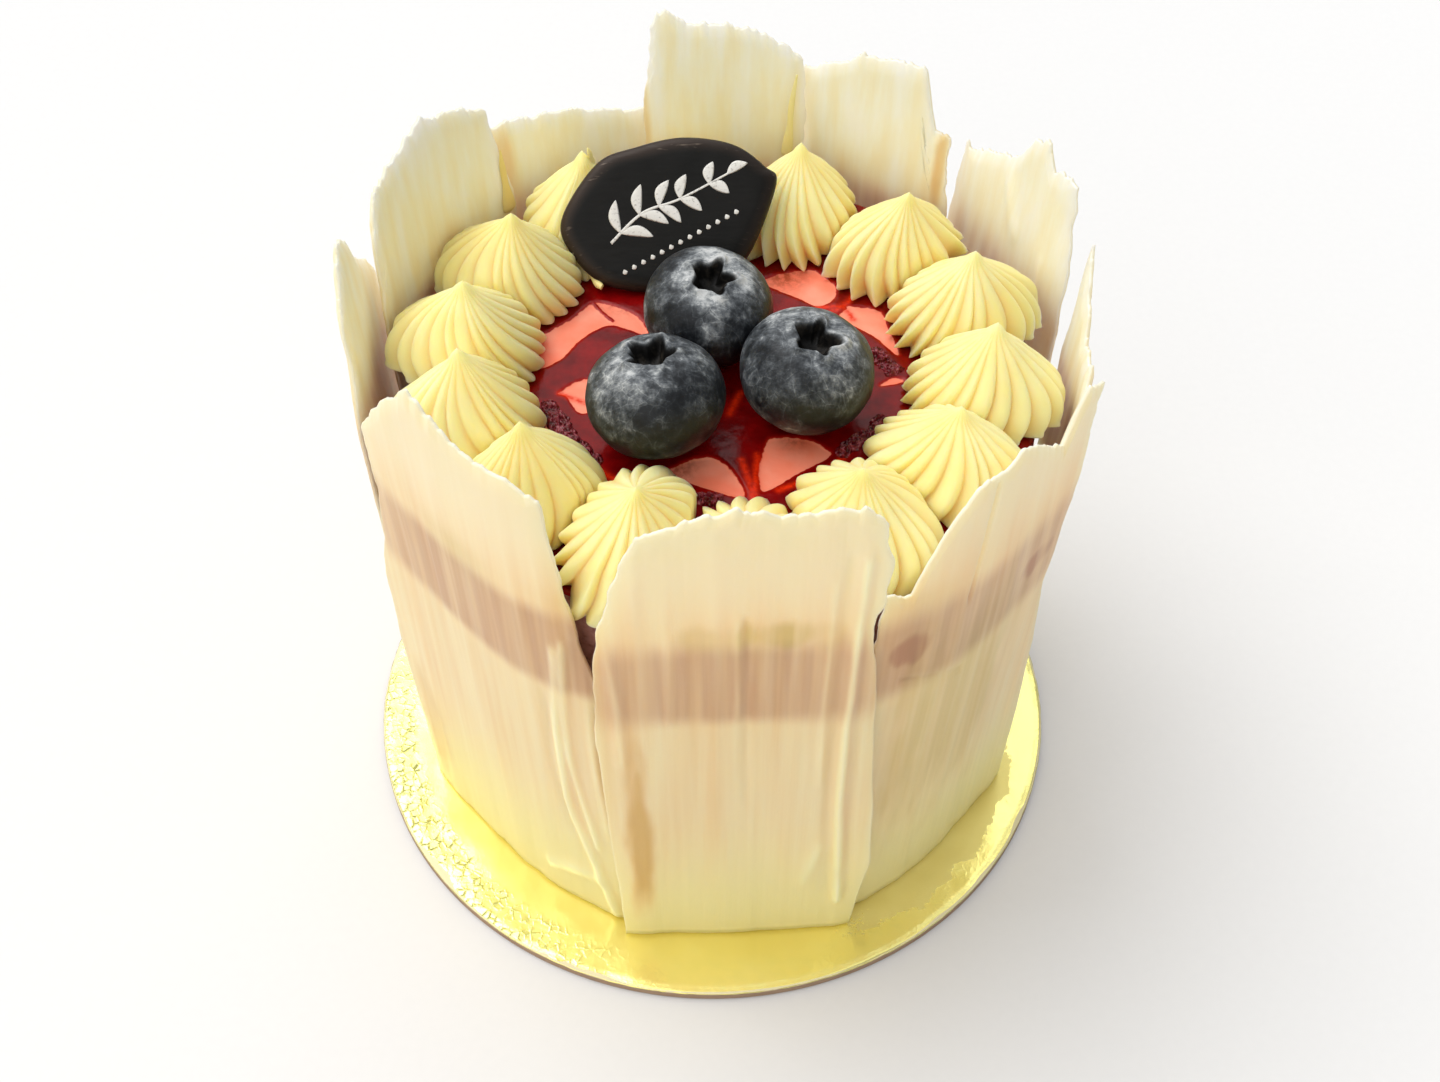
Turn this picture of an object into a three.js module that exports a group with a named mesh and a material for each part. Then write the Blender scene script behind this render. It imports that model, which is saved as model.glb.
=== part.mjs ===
// A small round charlotte cake on its gold card: a cream-coated cake with a
// berry mousse on top, fenced in by upright sheets of white chocolate, ringed
// with piped cream kisses, and finished with three blueberries and a dark
// chocolate plaque. Millimetres, +Z up, origin under the middle of the card,
// front of the cake towards -Y.

import * as THREE from 'three';

// ---------------------------------------------------------------- main sizes

const GAP = 0.3; // clearance between pieces that touch

const CARD_RADIUS = 60;
const CARD_THICKNESS = 2;
const CAKE_OFFSET_X = 1.8; // the cake stands a little off the middle of its card

const CAKE_RADIUS = 47;
const BODY_TOP = 65;
const MOUSSE_TOP = 82.4;
const TOP_EDGE_ROUND = 1.2;

const KISS_RING_RADIUS = 36.4;
const KISS_HEIGHT = 15;
const KISS_RIDGES = 20;
const RIDGE_DEPTH = 0.085; // share of the radius, near the foot

const BERRY_FLATTENING = 0.8; // height over width
const BERRY_SIDES = 20;
const CROWN_LOBES = 5;

const PLAQUE_HALF_WIDTH = 16.9;
const PLAQUE_HALF_HEIGHT = 11.5;
const PLAQUE_THICKNESS = 2.4;
const PLAQUE_BEVEL = 0.7;
const PLAQUE_CENTRE = [-8.25, 26.1, 91.9]; // from the cake's axis
const PLAQUE_LEAN = 42; // degrees back from upright
const PLAQUE_ROLL = 17; // degrees, the right side higher

const SHEET_THICKNESS = 1.4;
const SHEET_COLUMNS = 16;
const SHEET_ROWS = 5;
const WRAP_RADIUS = 50; // of a sheet's end that follows the round cake
const CHIP_SIZE = 0.7; // ragged top edge of a broken sheet

const degrees = THREE.MathUtils.degToRad;
const lerp = THREE.MathUtils.lerp;

// ----------------------------------------------------------------- materials

function finish(color, roughness, metalness = 0) {
  return new THREE.MeshStandardMaterial({ color, roughness, metalness });
}

const goldFoil = () => finish('#e6dc78', 0.3, 0.9);
const paleCream = () => finish('#f4e6b8', 0.7);
const berryMousse = () => finish('#e07058', 0.45);
const butterCream = () => finish('#fbeaa2', 0.6);
const whiteChocolate = () => finish('#eddcae', 0.4);
const blueberrySkin = () => finish('#2c3140', 0.6);
const darkChocolate = () => finish('#17130f', 0.35);

// ------------------------------------------------------------ shared helpers

/** A closed turned solid about +Z from (radius, height) pairs, foot to top. */
function turned(profile, sides) {
  const points = profile.map(([radius, height]) => new THREE.Vector2(radius, height));
  const geometry = new THREE.LatheGeometry(points, sides);
  geometry.rotateX(Math.PI / 2);
  return geometry;
}

/** Moves every vertex of a geometry by a function of its position. */
function reshape(geometry, move) {
  const position = geometry.attributes.position;
  const point = new THREE.Vector3();
  for (let i = 0; i < position.count; i++) {
    point.fromBufferAttribute(position, i);
    move(point);
    position.setXYZ(i, point.x, point.y, point.z);
  }
  geometry.computeVertexNormals();
  return geometry;
}

function named(name, geometry, material) {
  const mesh = new THREE.Mesh(geometry, material);
  mesh.name = name;
  return mesh;
}

/** Reads a row of evenly spaced values at t from 0 to 1, straight between them. */
function along(values, t) {
  const place = THREE.MathUtils.clamp(t, 0, 1) * (values.length - 1);
  const index = Math.min(Math.floor(place), values.length - 2);
  return lerp(values[index], values[index + 1], place - index);
}

/** A repeatable source of numbers from 0 to 1. */
function randomSource(seed) {
  let state = seed;
  return () => {
    state = (state * 16807) % 2147483647;
    return state / 2147483647;
  };
}

const twoDigits = (number) => String(number).padStart(2, '0');

// ------------------------------------------------------- card, cake and mousse

function makeCard() {
  const chamfer = 0.4;
  const profile = [
    [0, 0],
    [CARD_RADIUS - chamfer, 0],
    [CARD_RADIUS, chamfer],
    [CARD_RADIUS, CARD_THICKNESS - chamfer],
    [CARD_RADIUS - chamfer, CARD_THICKNESS],
    [0, CARD_THICKNESS],
  ];
  return named('cake_card', turned(profile, 64), goldFoil());
}

/** A round layer of the cake with a softened upper edge. */
function makeLayer(name, bottom, top, material) {
  const profile = [
    [0, bottom],
    [CAKE_RADIUS, bottom],
    [CAKE_RADIUS, top - TOP_EDGE_ROUND],
    [CAKE_RADIUS - TOP_EDGE_ROUND, top],
    [0, top],
  ];
  return named(name, turned(profile, 56), material);
}

// -------------------------------------------------------------- cream kisses

// Half section of a piped kiss, as (radius, share of its height): a cone with
// swelling flanks.
const KISS_SECTION = [
  [0, 0],
  [8.7, 0],
  [9.4, 0.08],
  [8.6, 0.26],
  [6.4, 0.48],
  [3.6, 0.71],
  [1.3, 0.89],
  [0, 1],
];
const LEAN_GROWTH = 1.6; // how the lean grows with the share of the height
const SQUASH_SOFTNESS = 0.35; // of the crease between squashed kisses

// One row for each kiss, counter-clockwise from the rear left: its direction
// from the cake's axis in degrees, how far the tip leans outwards and sideways
// in mm, how far its ridges turn from foot to tip in degrees, how much its
// outer and its inner half are stretched, and its share of the usual height.
const KISSES = [
  [125, 3.8, -1.1, 8, 1.4, 0.97, 1.05],
  [149, 1.0, 0.1, -26, 1.5, 0.87, 1],
  [173, 1.8, 0.9, -32, 1.5, 0.9, 1],
  [198, 2.4, -1.6, -24, 1.5, 0.82, 1],
  [224, 0.6, -1.3, 6, 1.45, 0.94, 1],
  [250, 2.2, 1.8, 10, 1.45, 1.27, 1],
  [275, 2.0, 0.4, 5, 1.35, 1, 0.56],
  [301, 1.6, -1.4, 12, 1.35, 1.12, 1],
  [327, 2.0, 0.4, 14, 1.4, 1.1, 0.92],
  [352, 2.8, 1.3, 10, 1.4, 0.94, 0.96],
  [18, 2.5, -0.6, 8, 1.4, 0.98, 0.96],
  [44, 0.8, -2.0, -6, 1.25, 1.03, 1],
  [72, 2.3, -0.1, -10, 1.2, 1.07, 1],
  [97, 3.6, 4.0, 6, 1.2, 1, 0.84],
];

// How far cream can spread from the cake's axis before it meets the sheets, as
// (direction in degrees, mm), straight between the rows.
const CREAM_REACH = [
  [-180, 52.3],
  [-172, 49.4],
  [-30, 49.4],
  [-10, 50.8],
  [50, 50.8],
  [80, 50.2],
  [174, 50.2],
  [177, 52.3],
  [180, 52.3],
];

/** Furthest reach of a kiss along an angle before it meets a neighbour's flank. */
function reachBesideNeighbour(angle, halfSector) {
  const slope = Math.sin(angle - halfSector);
  if (slope <= 0) {
    return Infinity;
  }
  return (KISS_RING_RADIUS * Math.sin(halfSector) - GAP / 2) / slope;
}

/** How far cream can spread from the cake's axis in a direction in degrees. */
function creamReach(azimuth) {
  const turned = ((azimuth + 540) % 360) - 180;
  const row = CREAM_REACH.findIndex(([direction]) => direction >= turned);
  const [next, nextReach] = CREAM_REACH[Math.max(row, 1)];
  const [last, lastReach] = CREAM_REACH[Math.max(row, 1) - 1];
  return lerp(lastReach, nextReach, (turned - last) / (next - last));
}

/** Furthest reach of a kiss along an angle before it passes a round limit. */
function reachBeforeLimit(angle, limit) {
  const sideways = KISS_RING_RADIUS * Math.sin(angle);
  return Math.sqrt(limit ** 2 - sideways ** 2) - KISS_RING_RADIUS * Math.cos(angle);
}

/** Softly limits a length, so that cream squashes instead of ending sharply. */
function softLimit(length, limit, softness) {
  const excess = (length - limit) / softness;
  if (excess < -8) {
    return length;
  }
  return limit - softness * Math.log1p(Math.exp(-excess));
}

/** A ridged cream cone, squashed between its neighbours. */
function kissGeometry(row, halfSectorAhead, halfSectorBehind) {
  const [azimuth, leanOut, leanSide, twist, stretchOut, stretchIn, heightShare] = row;
  const profile = KISS_SECTION.map(([radius, share]) => [radius, share * KISS_HEIGHT]);
  const sides = 2 * KISS_RIDGES;
  const geometry = turned(profile, sides);
  return reshape(geometry, (point) => {
    const share = Math.max(point.z, 0) / KISS_HEIGHT;
    const side = Math.round((Math.atan2(point.y, point.x) / (2 * Math.PI)) * sides);
    const isRidge = Math.abs(side) % 2 === 0;
    const depth = RIDGE_DEPTH * (1 - share ** 3);
    const fluted = Math.hypot(point.x, point.y) * (1 + (isRidge ? depth : -depth));
    const angle = (side / sides) * 2 * Math.PI + degrees(twist) * share;
    const pull = share ** LEAN_GROWTH;
    const outward = fluted * Math.cos(angle);
    const x = outward * (outward > 0 ? stretchOut : stretchIn) + leanOut * pull;
    const y = fluted * Math.sin(angle) + leanSide * pull;
    const turn = Math.atan2(y, x);
    const direction = azimuth + THREE.MathUtils.radToDeg(Math.atan2(y, KISS_RING_RADIUS + x));
    const beforeSheets = reachBeforeLimit(turn, creamReach(direction));
    const ahead = reachBesideNeighbour(turn, halfSectorAhead);
    const behind = reachBesideNeighbour(-turn, halfSectorBehind);
    const limit = Math.min(ahead, behind, beforeSheets);
    const reach = softLimit(Math.hypot(x, y), limit, SQUASH_SOFTNESS);
    point.set(reach * Math.cos(turn), reach * Math.sin(turn), point.z * heightShare);
  });
}

/** Half of the turn in degrees from one kiss to another one beside it. */
function halfTurn(from, to) {
  return degrees(((to - from + 360) % 360) / 2);
}

function makeKiss(index) {
  const azimuth = KISSES[index][0];
  const halfAhead = halfTurn(azimuth, KISSES[(index + 1) % KISSES.length][0]);
  const halfBehind = halfTurn(KISSES.at(index - 1)[0], azimuth);
  const geometry = kissGeometry(KISSES[index], halfAhead, halfBehind);
  geometry.translate(KISS_RING_RADIUS, 0, MOUSSE_TOP + GAP);
  geometry.rotateZ(degrees(azimuth));
  return named(`cream_kiss_${twoDigits(index + 1)}`, geometry, butterCream());
}

// --------------------------------------------------------------- blueberries

// Half section for a radius of 1: foot, round body, crown rim, crown hollow.
const BERRY_SECTION = [
  [0, -1],
  [0.45, -0.92],
  [0.82, -0.6],
  [1, -0.08],
  [0.93, 0.42],
  [0.66, 0.8],
  [0.36, 0.95],
  [0.27, 1.0],
  [0.17, 0.82],
  [0, 0.78],
];
const CROWN_RADIUS = 0.4; // lobes start inside this share of the berry's radius

// Width, centre from the cake's axis, and where the crown leans in degrees
// (back, right).
const BERRIES = [
  { width: 19.9, centre: [-9.7, -13.2, 91.0], lean: [8, -4] },
  { width: 19.5, centre: [11.9, -7.7, 90.8], lean: [-6, 8] },
  { width: 19.2, centre: [-2.4, 5.9, 90.6], lean: [-10, 6] },
];

/** An oblate berry whose open crown has five short points. */
function berryGeometry(width) {
  const radius = width / 2;
  const profile = BERRY_SECTION.map(([r, z]) => [r * radius, z * radius * BERRY_FLATTENING]);
  return reshape(turned(profile, BERRY_SIDES), (point) => {
    const out = Math.hypot(point.x, point.y) / radius;
    if (point.z < 0 || out > CROWN_RADIUS || out < 0.2) {
      return;
    }
    const lobe = Math.cos(CROWN_LOBES * Math.atan2(point.y, point.x));
    point.x *= 1 + 0.18 * lobe;
    point.y *= 1 + 0.18 * lobe;
    point.z += 0.035 * radius * lobe;
  });
}

function makeBerry({ width, centre, lean }, index) {
  const berry = named(`blueberry_${index + 1}`, berryGeometry(width), blueberrySkin());
  berry.position.set(...centre);
  berry.rotation.set(degrees(-lean[0]), degrees(lean[1]), 0);
  return berry;
}

// -------------------------------------------------------------------- plaque

// The plaque's outline as shares of its half width and half height: an uneven
// oval with blunt corners where it was trimmed.
const PLAQUE_OUTLINE = [
  [1, -0.03],
  [0.95, 0.26],
  [0.72, 0.65],
  [0.31, 0.93],
  [-0.13, 0.99],
  [-0.53, 0.93],
  [-0.98, 0.38],
  [-0.99, -0.1],
  [-0.79, -0.62],
  [-0.35, -0.93],
  [0.12, -0.99],
  [0.54, -0.87],
];

/** An oval plate with a bevelled rim, lying in the XY plane. */
function plaqueGeometry() {
  const width = PLAQUE_HALF_WIDTH - PLAQUE_BEVEL;
  const height = PLAQUE_HALF_HEIGHT - PLAQUE_BEVEL;
  const corners = PLAQUE_OUTLINE.map(([x, y]) => new THREE.Vector3(x * width, y * height, 0));
  const outline = new THREE.CatmullRomCurve3(corners, true, 'catmullrom', 0.5);
  const points = outline.getPoints(48).slice(0, -1);
  const oval = new THREE.Shape(points.map((point) => new THREE.Vector2(point.x, point.y)));
  const depth = PLAQUE_THICKNESS - 2 * PLAQUE_BEVEL;
  const geometry = new THREE.ExtrudeGeometry(oval, {
    depth,
    bevelThickness: PLAQUE_BEVEL,
    bevelSize: PLAQUE_BEVEL,
    bevelSegments: 1,
  });
  geometry.translate(0, 0, -depth / 2);
  return geometry;
}

function makePlaque() {
  const plaque = named('chocolate_plaque', plaqueGeometry(), darkChocolate());
  plaque.rotation.set(degrees(90 - PLAQUE_LEAN), 0, degrees(PLAQUE_ROLL));
  plaque.position.set(...PLAQUE_CENTRE);
  return plaque;
}

// ------------------------------------------------------ white chocolate sheets

// One entry for each sheet, counter-clockwise from the front. Seen from
// outside, "left" and "right" are its side edges from the foot to the top, as
// distances from its middle line, and "top" is its broken upper edge from left
// to right, as heights above the table. facing is the direction it faces in
// degrees and standoff the distance of its outer face from the cake's axis at
// the foot. lean is how far it opens outwards for each mm of height. Ends that
// follow the round cake are wrapped.
const SHEETS = [
  {
    name: 'sheet_front', facing: -87, standoff: 48.8, lean: 0.03, wrap: [false, false],
    left: [-18.3, -19.2, -20, -20.6, -19.6, -14.1],
    right: [18.5, 20.8, 19.6, 18.4, 17.5, 18.2],
    top: [104.6, 106.8, 108.5, 108.7, 109.8, 109.2, 108.7, 108.2, 109.6, 108.6, 105.5],
  },
  {
    name: 'sheet_front_right', facing: -40, standoff: 48.8, lean: 0.05, wrap: [true, false],
    left: [-25, -25, -25, -24.8, -24.6, -24.2],
    right: [18.2, 18.3, 16.8, 12.9, 15.3, 15.2],
    top: [88.5, 87.3, 97, 103.6, 103.3, 105, 103.5, 100, 97, 105.2, 102.5],
  },
  {
    name: 'sheet_right', facing: 2, standoff: 49, lean: 0.05, wrap: [true, false],
    left: [-20, -20, -20, -20, -19.5, -18.5],
    right: [4.2, 4.6, 5, 5.1, 5, 4.4],
    top: [86, 88, 91, 93.5, 92, 91.5, 91, 94.5, 96.5, 99, 102.6],
  },
  {
    name: 'sheet_rear_right', facing: 27, standoff: 49.4, lean: 0.055, wrap: [false, false],
    left: [-11.5, -11.5, -11.3, -11.2, -10.8, -8.8],
    right: [21.5, 22, 22, 22, 21.8, 19.1],
    top: [103.9, 104.3, 103.6, 107, 105.6, 101, 99, 97.5, 95.8, 94.5, 93.6],
  },
  {
    name: 'sheet_back_right', facing: 56, standoff: 49.4, lean: 0.04, wrap: [false, false],
    left: [-8.5, -8.8, -9.2, -9.6, -8.8, -7.5],
    right: [18.5, 19, 19.3, 19.5, 19.5, 20.8],
    top: [96.5, 96.8, 106.5, 106.8, 106.8, 106.2, 105.6, 103.8, 101.5, 100.2, 99],
  },
  {
    name: 'sheet_back', facing: 91, standoff: 48.8, lean: 0.04, wrap: [false, false],
    left: [-13, -13.2, -13.5, -13.8, -14, -13.3],
    right: [13.5, 13.5, 13.5, 13.2, 12.3, 10.6],
    top: [102.4, 104.6, 106, 107.5, 108.2, 108.7, 109, 109.2, 109.4, 111, 108.3],
  },
  {
    name: 'sheet_back_left', facing: 119, standoff: 51.4, lean: 0.04, wrap: [false, false],
    left: [-17, -17, -17, -17, -17, -17],
    right: [14, 14, 14, 14, 14, 14],
    top: [90.5, 91.5, 92, 93.3, 94.4, 95.3, 95.8, 96, 96.4, 96.9, 97.4],
  },
  {
    name: 'sheet_rear_left', facing: 149, standoff: 48.8, lean: 0.04, wrap: [true, true],
    left: [-18.5, -18.3, -18, -17.5, -16.2, -12.6],
    right: [21, 21, 21.3, 21.5, 21.5, 20.4],
    top: [103.5, 105.3, 106.6, 107.2, 109, 109, 107.5, 107, 106.3, 105.3, 99],
  },
  {
    name: 'sheet_left', facing: 180, standoff: 50.1, lean: 0.05, wrap: [false, false],
    left: [-17, -17, -17, -17, -17, -17],
    right: [12, 12.2, 12.2, 11.6, 10.6, 5],
    top: [88, 91, 94, 96.4, 98.8, 103.6, 105.3, 105.9, 103.8, 100.2, 96.8],
  },
  {
    name: 'sheet_front_left', facing: -138, standoff: 48.8, lean: 0.03, wrap: [false, true],
    left: [-21.3, -22.2, -22.8, -22.3, -18.7, -18.3],
    right: [27, 27, 26.5, 25, 21.3, 19],
    top: [93, 98, 102.5, 106.5, 111, 110, 108.3, 107, 106, 106.3, 104.5],
  },
];

/** Outer face of a sheet, facing +X: straight, or curving back at wrapped ends. */
function sheetPoint(sheet, across, height, depth) {
  const isWrapped = across < 0 ? sheet.wrap[0] : sheet.wrap[1];
  const turn = isWrapped ? across / WRAP_RADIUS : 0;
  const sideways = isWrapped ? WRAP_RADIUS * Math.sin(turn) : across;
  const fallBack = WRAP_RADIUS * (1 - Math.cos(turn));
  const face = sheet.standoff + sheet.lean * height - fallBack;
  return [face - depth * Math.cos(turn), sideways - depth * Math.sin(turn), height];
}

/** Adds the two triangles of a four-sided patch. */
function quad(indices, a, b, c, d) {
  indices.push(a, b, c, a, c, d);
}

/** A thin closed solid whose two faces share one grid of points. */
function slabGeometry(columns, rows, place) {
  const positions = [];
  const layer = (columns + 1) * (rows + 1);
  for (const isInner of [0, 1]) {
    for (let row = 0; row <= rows; row++) {
      for (let column = 0; column <= columns; column++) {
        positions.push(...place(column / columns, row / rows, isInner));
      }
    }
  }
  const at = (column, row, isInner) => isInner * layer + row * (columns + 1) + column;
  const indices = [];
  for (let row = 0; row < rows; row++) {
    for (let column = 0; column < columns; column++) {
      const outer = [[0, 0], [1, 0], [1, 1], [0, 1]].map(([i, j]) => at(column + i, row + j, 0));
      quad(indices, ...outer);
      indices.push(outer[0] + layer, outer[2] + layer, outer[1] + layer);
      indices.push(outer[0] + layer, outer[3] + layer, outer[2] + layer);
    }
  }
  for (let column = 0; column < columns; column++) {
    quad(indices, at(column, 0, 1), at(column + 1, 0, 1), at(column + 1, 0, 0), at(column, 0, 0));
    quad(indices, at(column, rows, 0), at(column + 1, rows, 0), at(column + 1, rows, 1), at(column, rows, 1));
  }
  for (let row = 0; row < rows; row++) {
    quad(indices, at(0, row, 1), at(0, row, 0), at(0, row + 1, 0), at(0, row + 1, 1));
    quad(indices, at(columns, row, 0), at(columns, row, 1), at(columns, row + 1, 1), at(columns, row + 1, 0));
  }
  const geometry = new THREE.BufferGeometry();
  geometry.setAttribute('position', new THREE.Float32BufferAttribute(positions, 3));
  geometry.setIndex(indices);
  geometry.computeVertexNormals();
  return geometry;
}

function makeSheet(sheet, index) {
  const random = randomSource(101 + index);
  const chips = Array.from({ length: SHEET_COLUMNS + 1 }, () => (random() - 0.5) * CHIP_SIZE);
  const foot = CARD_THICKNESS + GAP;
  const geometry = slabGeometry(SHEET_COLUMNS, SHEET_ROWS, (u, v, isInner) => {
    const upperEdge = along(sheet.top, u) + along(chips, u);
    const height = lerp(foot, upperEdge, v);
    const across = lerp(along(sheet.left, v), along(sheet.right, v), u);
    return sheetPoint(sheet, across, height, isInner * SHEET_THICKNESS);
  });
  const mesh = named(sheet.name, geometry, whiteChocolate());
  mesh.rotation.z = degrees(sheet.facing);
  return mesh;
}

// ------------------------------------------------------- pressing into cream

const PRESS_SOFTNESS = 0.8; // how gradually the cream gives way
const PRESS_FADE = [1.15, 1.5]; // the push ends between these shares of the plaque

/** Pushes a kiss back behind the plaque that leans on it. */
function pressBehindPlaque(kiss) {
  const plaque = makePlaque();
  plaque.updateMatrix();
  const toPlaque = plaque.matrix.clone().invert();
  const towardsFace = new THREE.Vector3(0, 0, 1).transformDirection(plaque.matrix);
  const backFace = -PLAQUE_THICKNESS / 2 - GAP;
  reshape(kiss.geometry, (point) => {
    const local = point.clone().applyMatrix4(toPlaque);
    const excess = local.z - softLimit(local.z, backFace, PRESS_SOFTNESS);
    const pushed = new THREE.Vector3(point.x, point.y - excess / towardsFace.y, point.z);
    local.copy(pushed).applyMatrix4(toPlaque);
    const out = Math.hypot(local.x / PLAQUE_HALF_WIDTH, local.y / PLAQUE_HALF_HEIGHT);
    point.lerp(pushed, 1 - THREE.MathUtils.smoothstep(out, ...PRESS_FADE));
  });
  return kiss;
}

// ------------------------------------------------------------------ assembly

const KISSES_BEHIND_PLAQUE = [0, 12, 13];

const cake = new THREE.Group();
cake.position.x = CAKE_OFFSET_X;
cake.add(makeLayer('cake_body', CARD_THICKNESS + GAP, BODY_TOP, paleCream()));
cake.add(makeLayer('berry_mousse', BODY_TOP + GAP, MOUSSE_TOP, berryMousse()));
for (let index = 0; index < KISSES.length; index++) {
  const kiss = makeKiss(index);
  cake.add(KISSES_BEHIND_PLAQUE.includes(index) ? pressBehindPlaque(kiss) : kiss);
}
BERRIES.forEach((berry, index) => cake.add(makeBerry(berry, index)));
cake.add(makePlaque());
SHEETS.forEach((sheet, index) => cake.add(makeSheet(sheet, index)));

const charlotte = new THREE.Group();
charlotte.add(makeCard());
charlotte.add(cake);

export default charlotte;
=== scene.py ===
"""A small round charlotte cake on its gold card, dressed for the picture.

Lengths are millimetres and angles degrees until a mesh is made, in metres. Most
shapes are worked out about the cake's own axis, which stands a little to the
right of the card's middle. Azimuths turn counter-clockwise from +X, so the
front of the cake is at -90.
"""

import itertools
import math

import bpy
import numpy as np
from mathutils import Matrix, Vector


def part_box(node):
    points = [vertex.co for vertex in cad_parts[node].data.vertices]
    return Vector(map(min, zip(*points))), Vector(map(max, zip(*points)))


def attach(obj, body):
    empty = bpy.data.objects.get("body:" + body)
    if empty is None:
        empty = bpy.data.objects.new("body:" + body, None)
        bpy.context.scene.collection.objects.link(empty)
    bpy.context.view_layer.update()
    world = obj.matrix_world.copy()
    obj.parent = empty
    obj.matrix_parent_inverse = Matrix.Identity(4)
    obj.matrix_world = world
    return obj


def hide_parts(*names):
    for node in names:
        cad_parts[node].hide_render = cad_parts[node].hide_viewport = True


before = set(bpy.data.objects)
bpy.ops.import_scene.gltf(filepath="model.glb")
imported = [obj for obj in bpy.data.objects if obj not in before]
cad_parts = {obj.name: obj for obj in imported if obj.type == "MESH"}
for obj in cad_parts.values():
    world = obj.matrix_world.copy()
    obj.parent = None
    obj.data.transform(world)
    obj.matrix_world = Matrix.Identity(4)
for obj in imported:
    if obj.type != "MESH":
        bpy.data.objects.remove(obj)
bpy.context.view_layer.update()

MM = 0.001  # one millimetre in metres
PER_MM = 1000.0  # pattern scale that gives one wave for each millimetre


def box_of(node):
    """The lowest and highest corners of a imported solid, in millimetres."""
    low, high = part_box(node)
    return np.array(low) / MM, np.array(high) / MM


# -------------------------------------------------------------- driving sizes

CARD_LOW, CARD_HIGH = box_of("cake_card")
BODY_LOW, BODY_HIGH = box_of("cake_body")
MOUSSE_LOW, MOUSSE_HIGH = box_of("berry_mousse")

CARD_RADIUS = (CARD_HIGH[0] - CARD_LOW[0]) / 2
CARD_TOP = CARD_HIGH[2]
CAKE_RADIUS = (MOUSSE_HIGH[0] - MOUSSE_LOW[0]) / 2
CAKE_OFFSET = np.array([(MOUSSE_HIGH[0] + MOUSSE_LOW[0]) / 2, 0.0, 0.0])
BODY_FOOT = BODY_LOW[2]
BODY_TOP = BODY_HIGH[2]
MOUSSE_FOOT = MOUSSE_LOW[2]
MOUSSE_TOP = MOUSSE_HIGH[2]
GAP = 0.3  # clearance between pieces that touch

KISS_RING_RADIUS = 36.4
KISS_HEIGHT = 15
KISS_RIDGES = 20
RIDGE_DEPTH = 0.105  # share of the radius
LEAN_GROWTH = 1.6  # how the lean grows with the share of the height
SQUASH_SOFTNESS = 0.35  # of the crease between squashed kisses
KISS_SECTION = [
    (0, 0), (8.7, 0), (9.4, 0.08), (8.7, 0.26), (6.5, 0.48), (3.8, 0.69), (1.7, 0.84), (0.8, 0.93),
    (0, 1),
]
# One row for each kiss: its azimuth, how far the tip leans outwards and sideways
# in mm, the turn of its ridges from foot to tip, how much its outer and its inner
# half are stretched, its share of the usual height, and how pointed its ridges
# are at the foot, from round lobes (0) to teeth (1).
KISSES = [
    (125, 3.8, -1.1, 8, 1.4, 0.97, 1.05, 0.0),
    (149, 1.0, 0.1, -26, 1.5, 0.87, 1.0, 0.1),
    (173, 1.8, 0.9, -32, 1.5, 0.9, 1.0, 0.1),
    (198, 2.4, -1.6, -24, 1.5, 0.82, 1.0, 0.1),
    (224, 0.6, -1.3, 6, 1.45, 0.94, 1.0, 0.3),
    (250, 2.2, 1.8, 10, 1.45, 1.27, 1.0, 0.8),
    (275, 2.0, 0.4, 5, 1.35, 1.0, 0.56, 0.5),
    (301, 1.6, -1.4, 12, 1.35, 1.12, 1.0, 0.2),
    (327, 2.0, 0.4, 14, 1.4, 1.1, 0.92, 0.35),
    (352, 2.8, 1.3, 10, 1.4, 0.94, 0.96, 0.4),
    (18, 2.5, -0.6, 8, 1.4, 0.98, 0.96, 0.8),
    (44, 0.8, -2.0, -6, 1.25, 1.03, 1.0, 0.9),
    (72, 2.3, -0.1, -10, 1.2, 1.07, 1.0, 0.8),
    (97, 3.6, 4.0, 6, 1.2, 1.0, 0.84, 0.6),
]
KISS_DROOP = {5: 2.6, 8: 1.5}  # mm that a kiss hangs over the mousse's edge
# How far cream spreads before it meets the sheets, as (azimuth, mm).
CREAM_REACH = [
    (-180, 52.3), (-172, 49.4), (-30, 49.4), (-10, 50.8), (50, 50.8), (80, 50.2), (174, 50.2),
    (177, 52.3), (180, 52.3),
]

BERRY_FLATTENING = 0.8
CROWN_LOBES = 5
BERRY_SECTION = [
    (0, -1), (0.45, -0.92), (0.82, -0.6), (1, -0.08), (0.93, 0.42), (0.66, 0.8), (0.44, 0.92),
    (0.33, 0.97), (0.27, 0.86), (0.2, 0.64), (0.1, 0.56), (0, 0.55),
]
BERRIES = [
    (19.9, (-9.7, -13.2, 91.0), (8, -4)),
    (19.5, (11.9, -7.7, 90.8), (-6, 8)),
    (19.2, (-2.4, 5.9, 90.6), (-10, 6)),
]

PLAQUE_OUTLINE = [
    (16.9, -0.4), (16.0, 2.9), (12.2, 7.5), (5.2, 10.7), (-2.2, 11.4), (-8.9, 10.7),
    (-16.5, 4.3), (-16.7, -1.2), (-13.3, -7.1), (-5.9, -10.7), (2.0, -11.4), (9.1, -10.0),
]
PLAQUE_THICKNESS = 2.4
PLAQUE_CENTRE = (-8.25, 26.1, 91.9)
PLAQUE_LEAN = 42
PLAQUE_ROLL = 17

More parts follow.
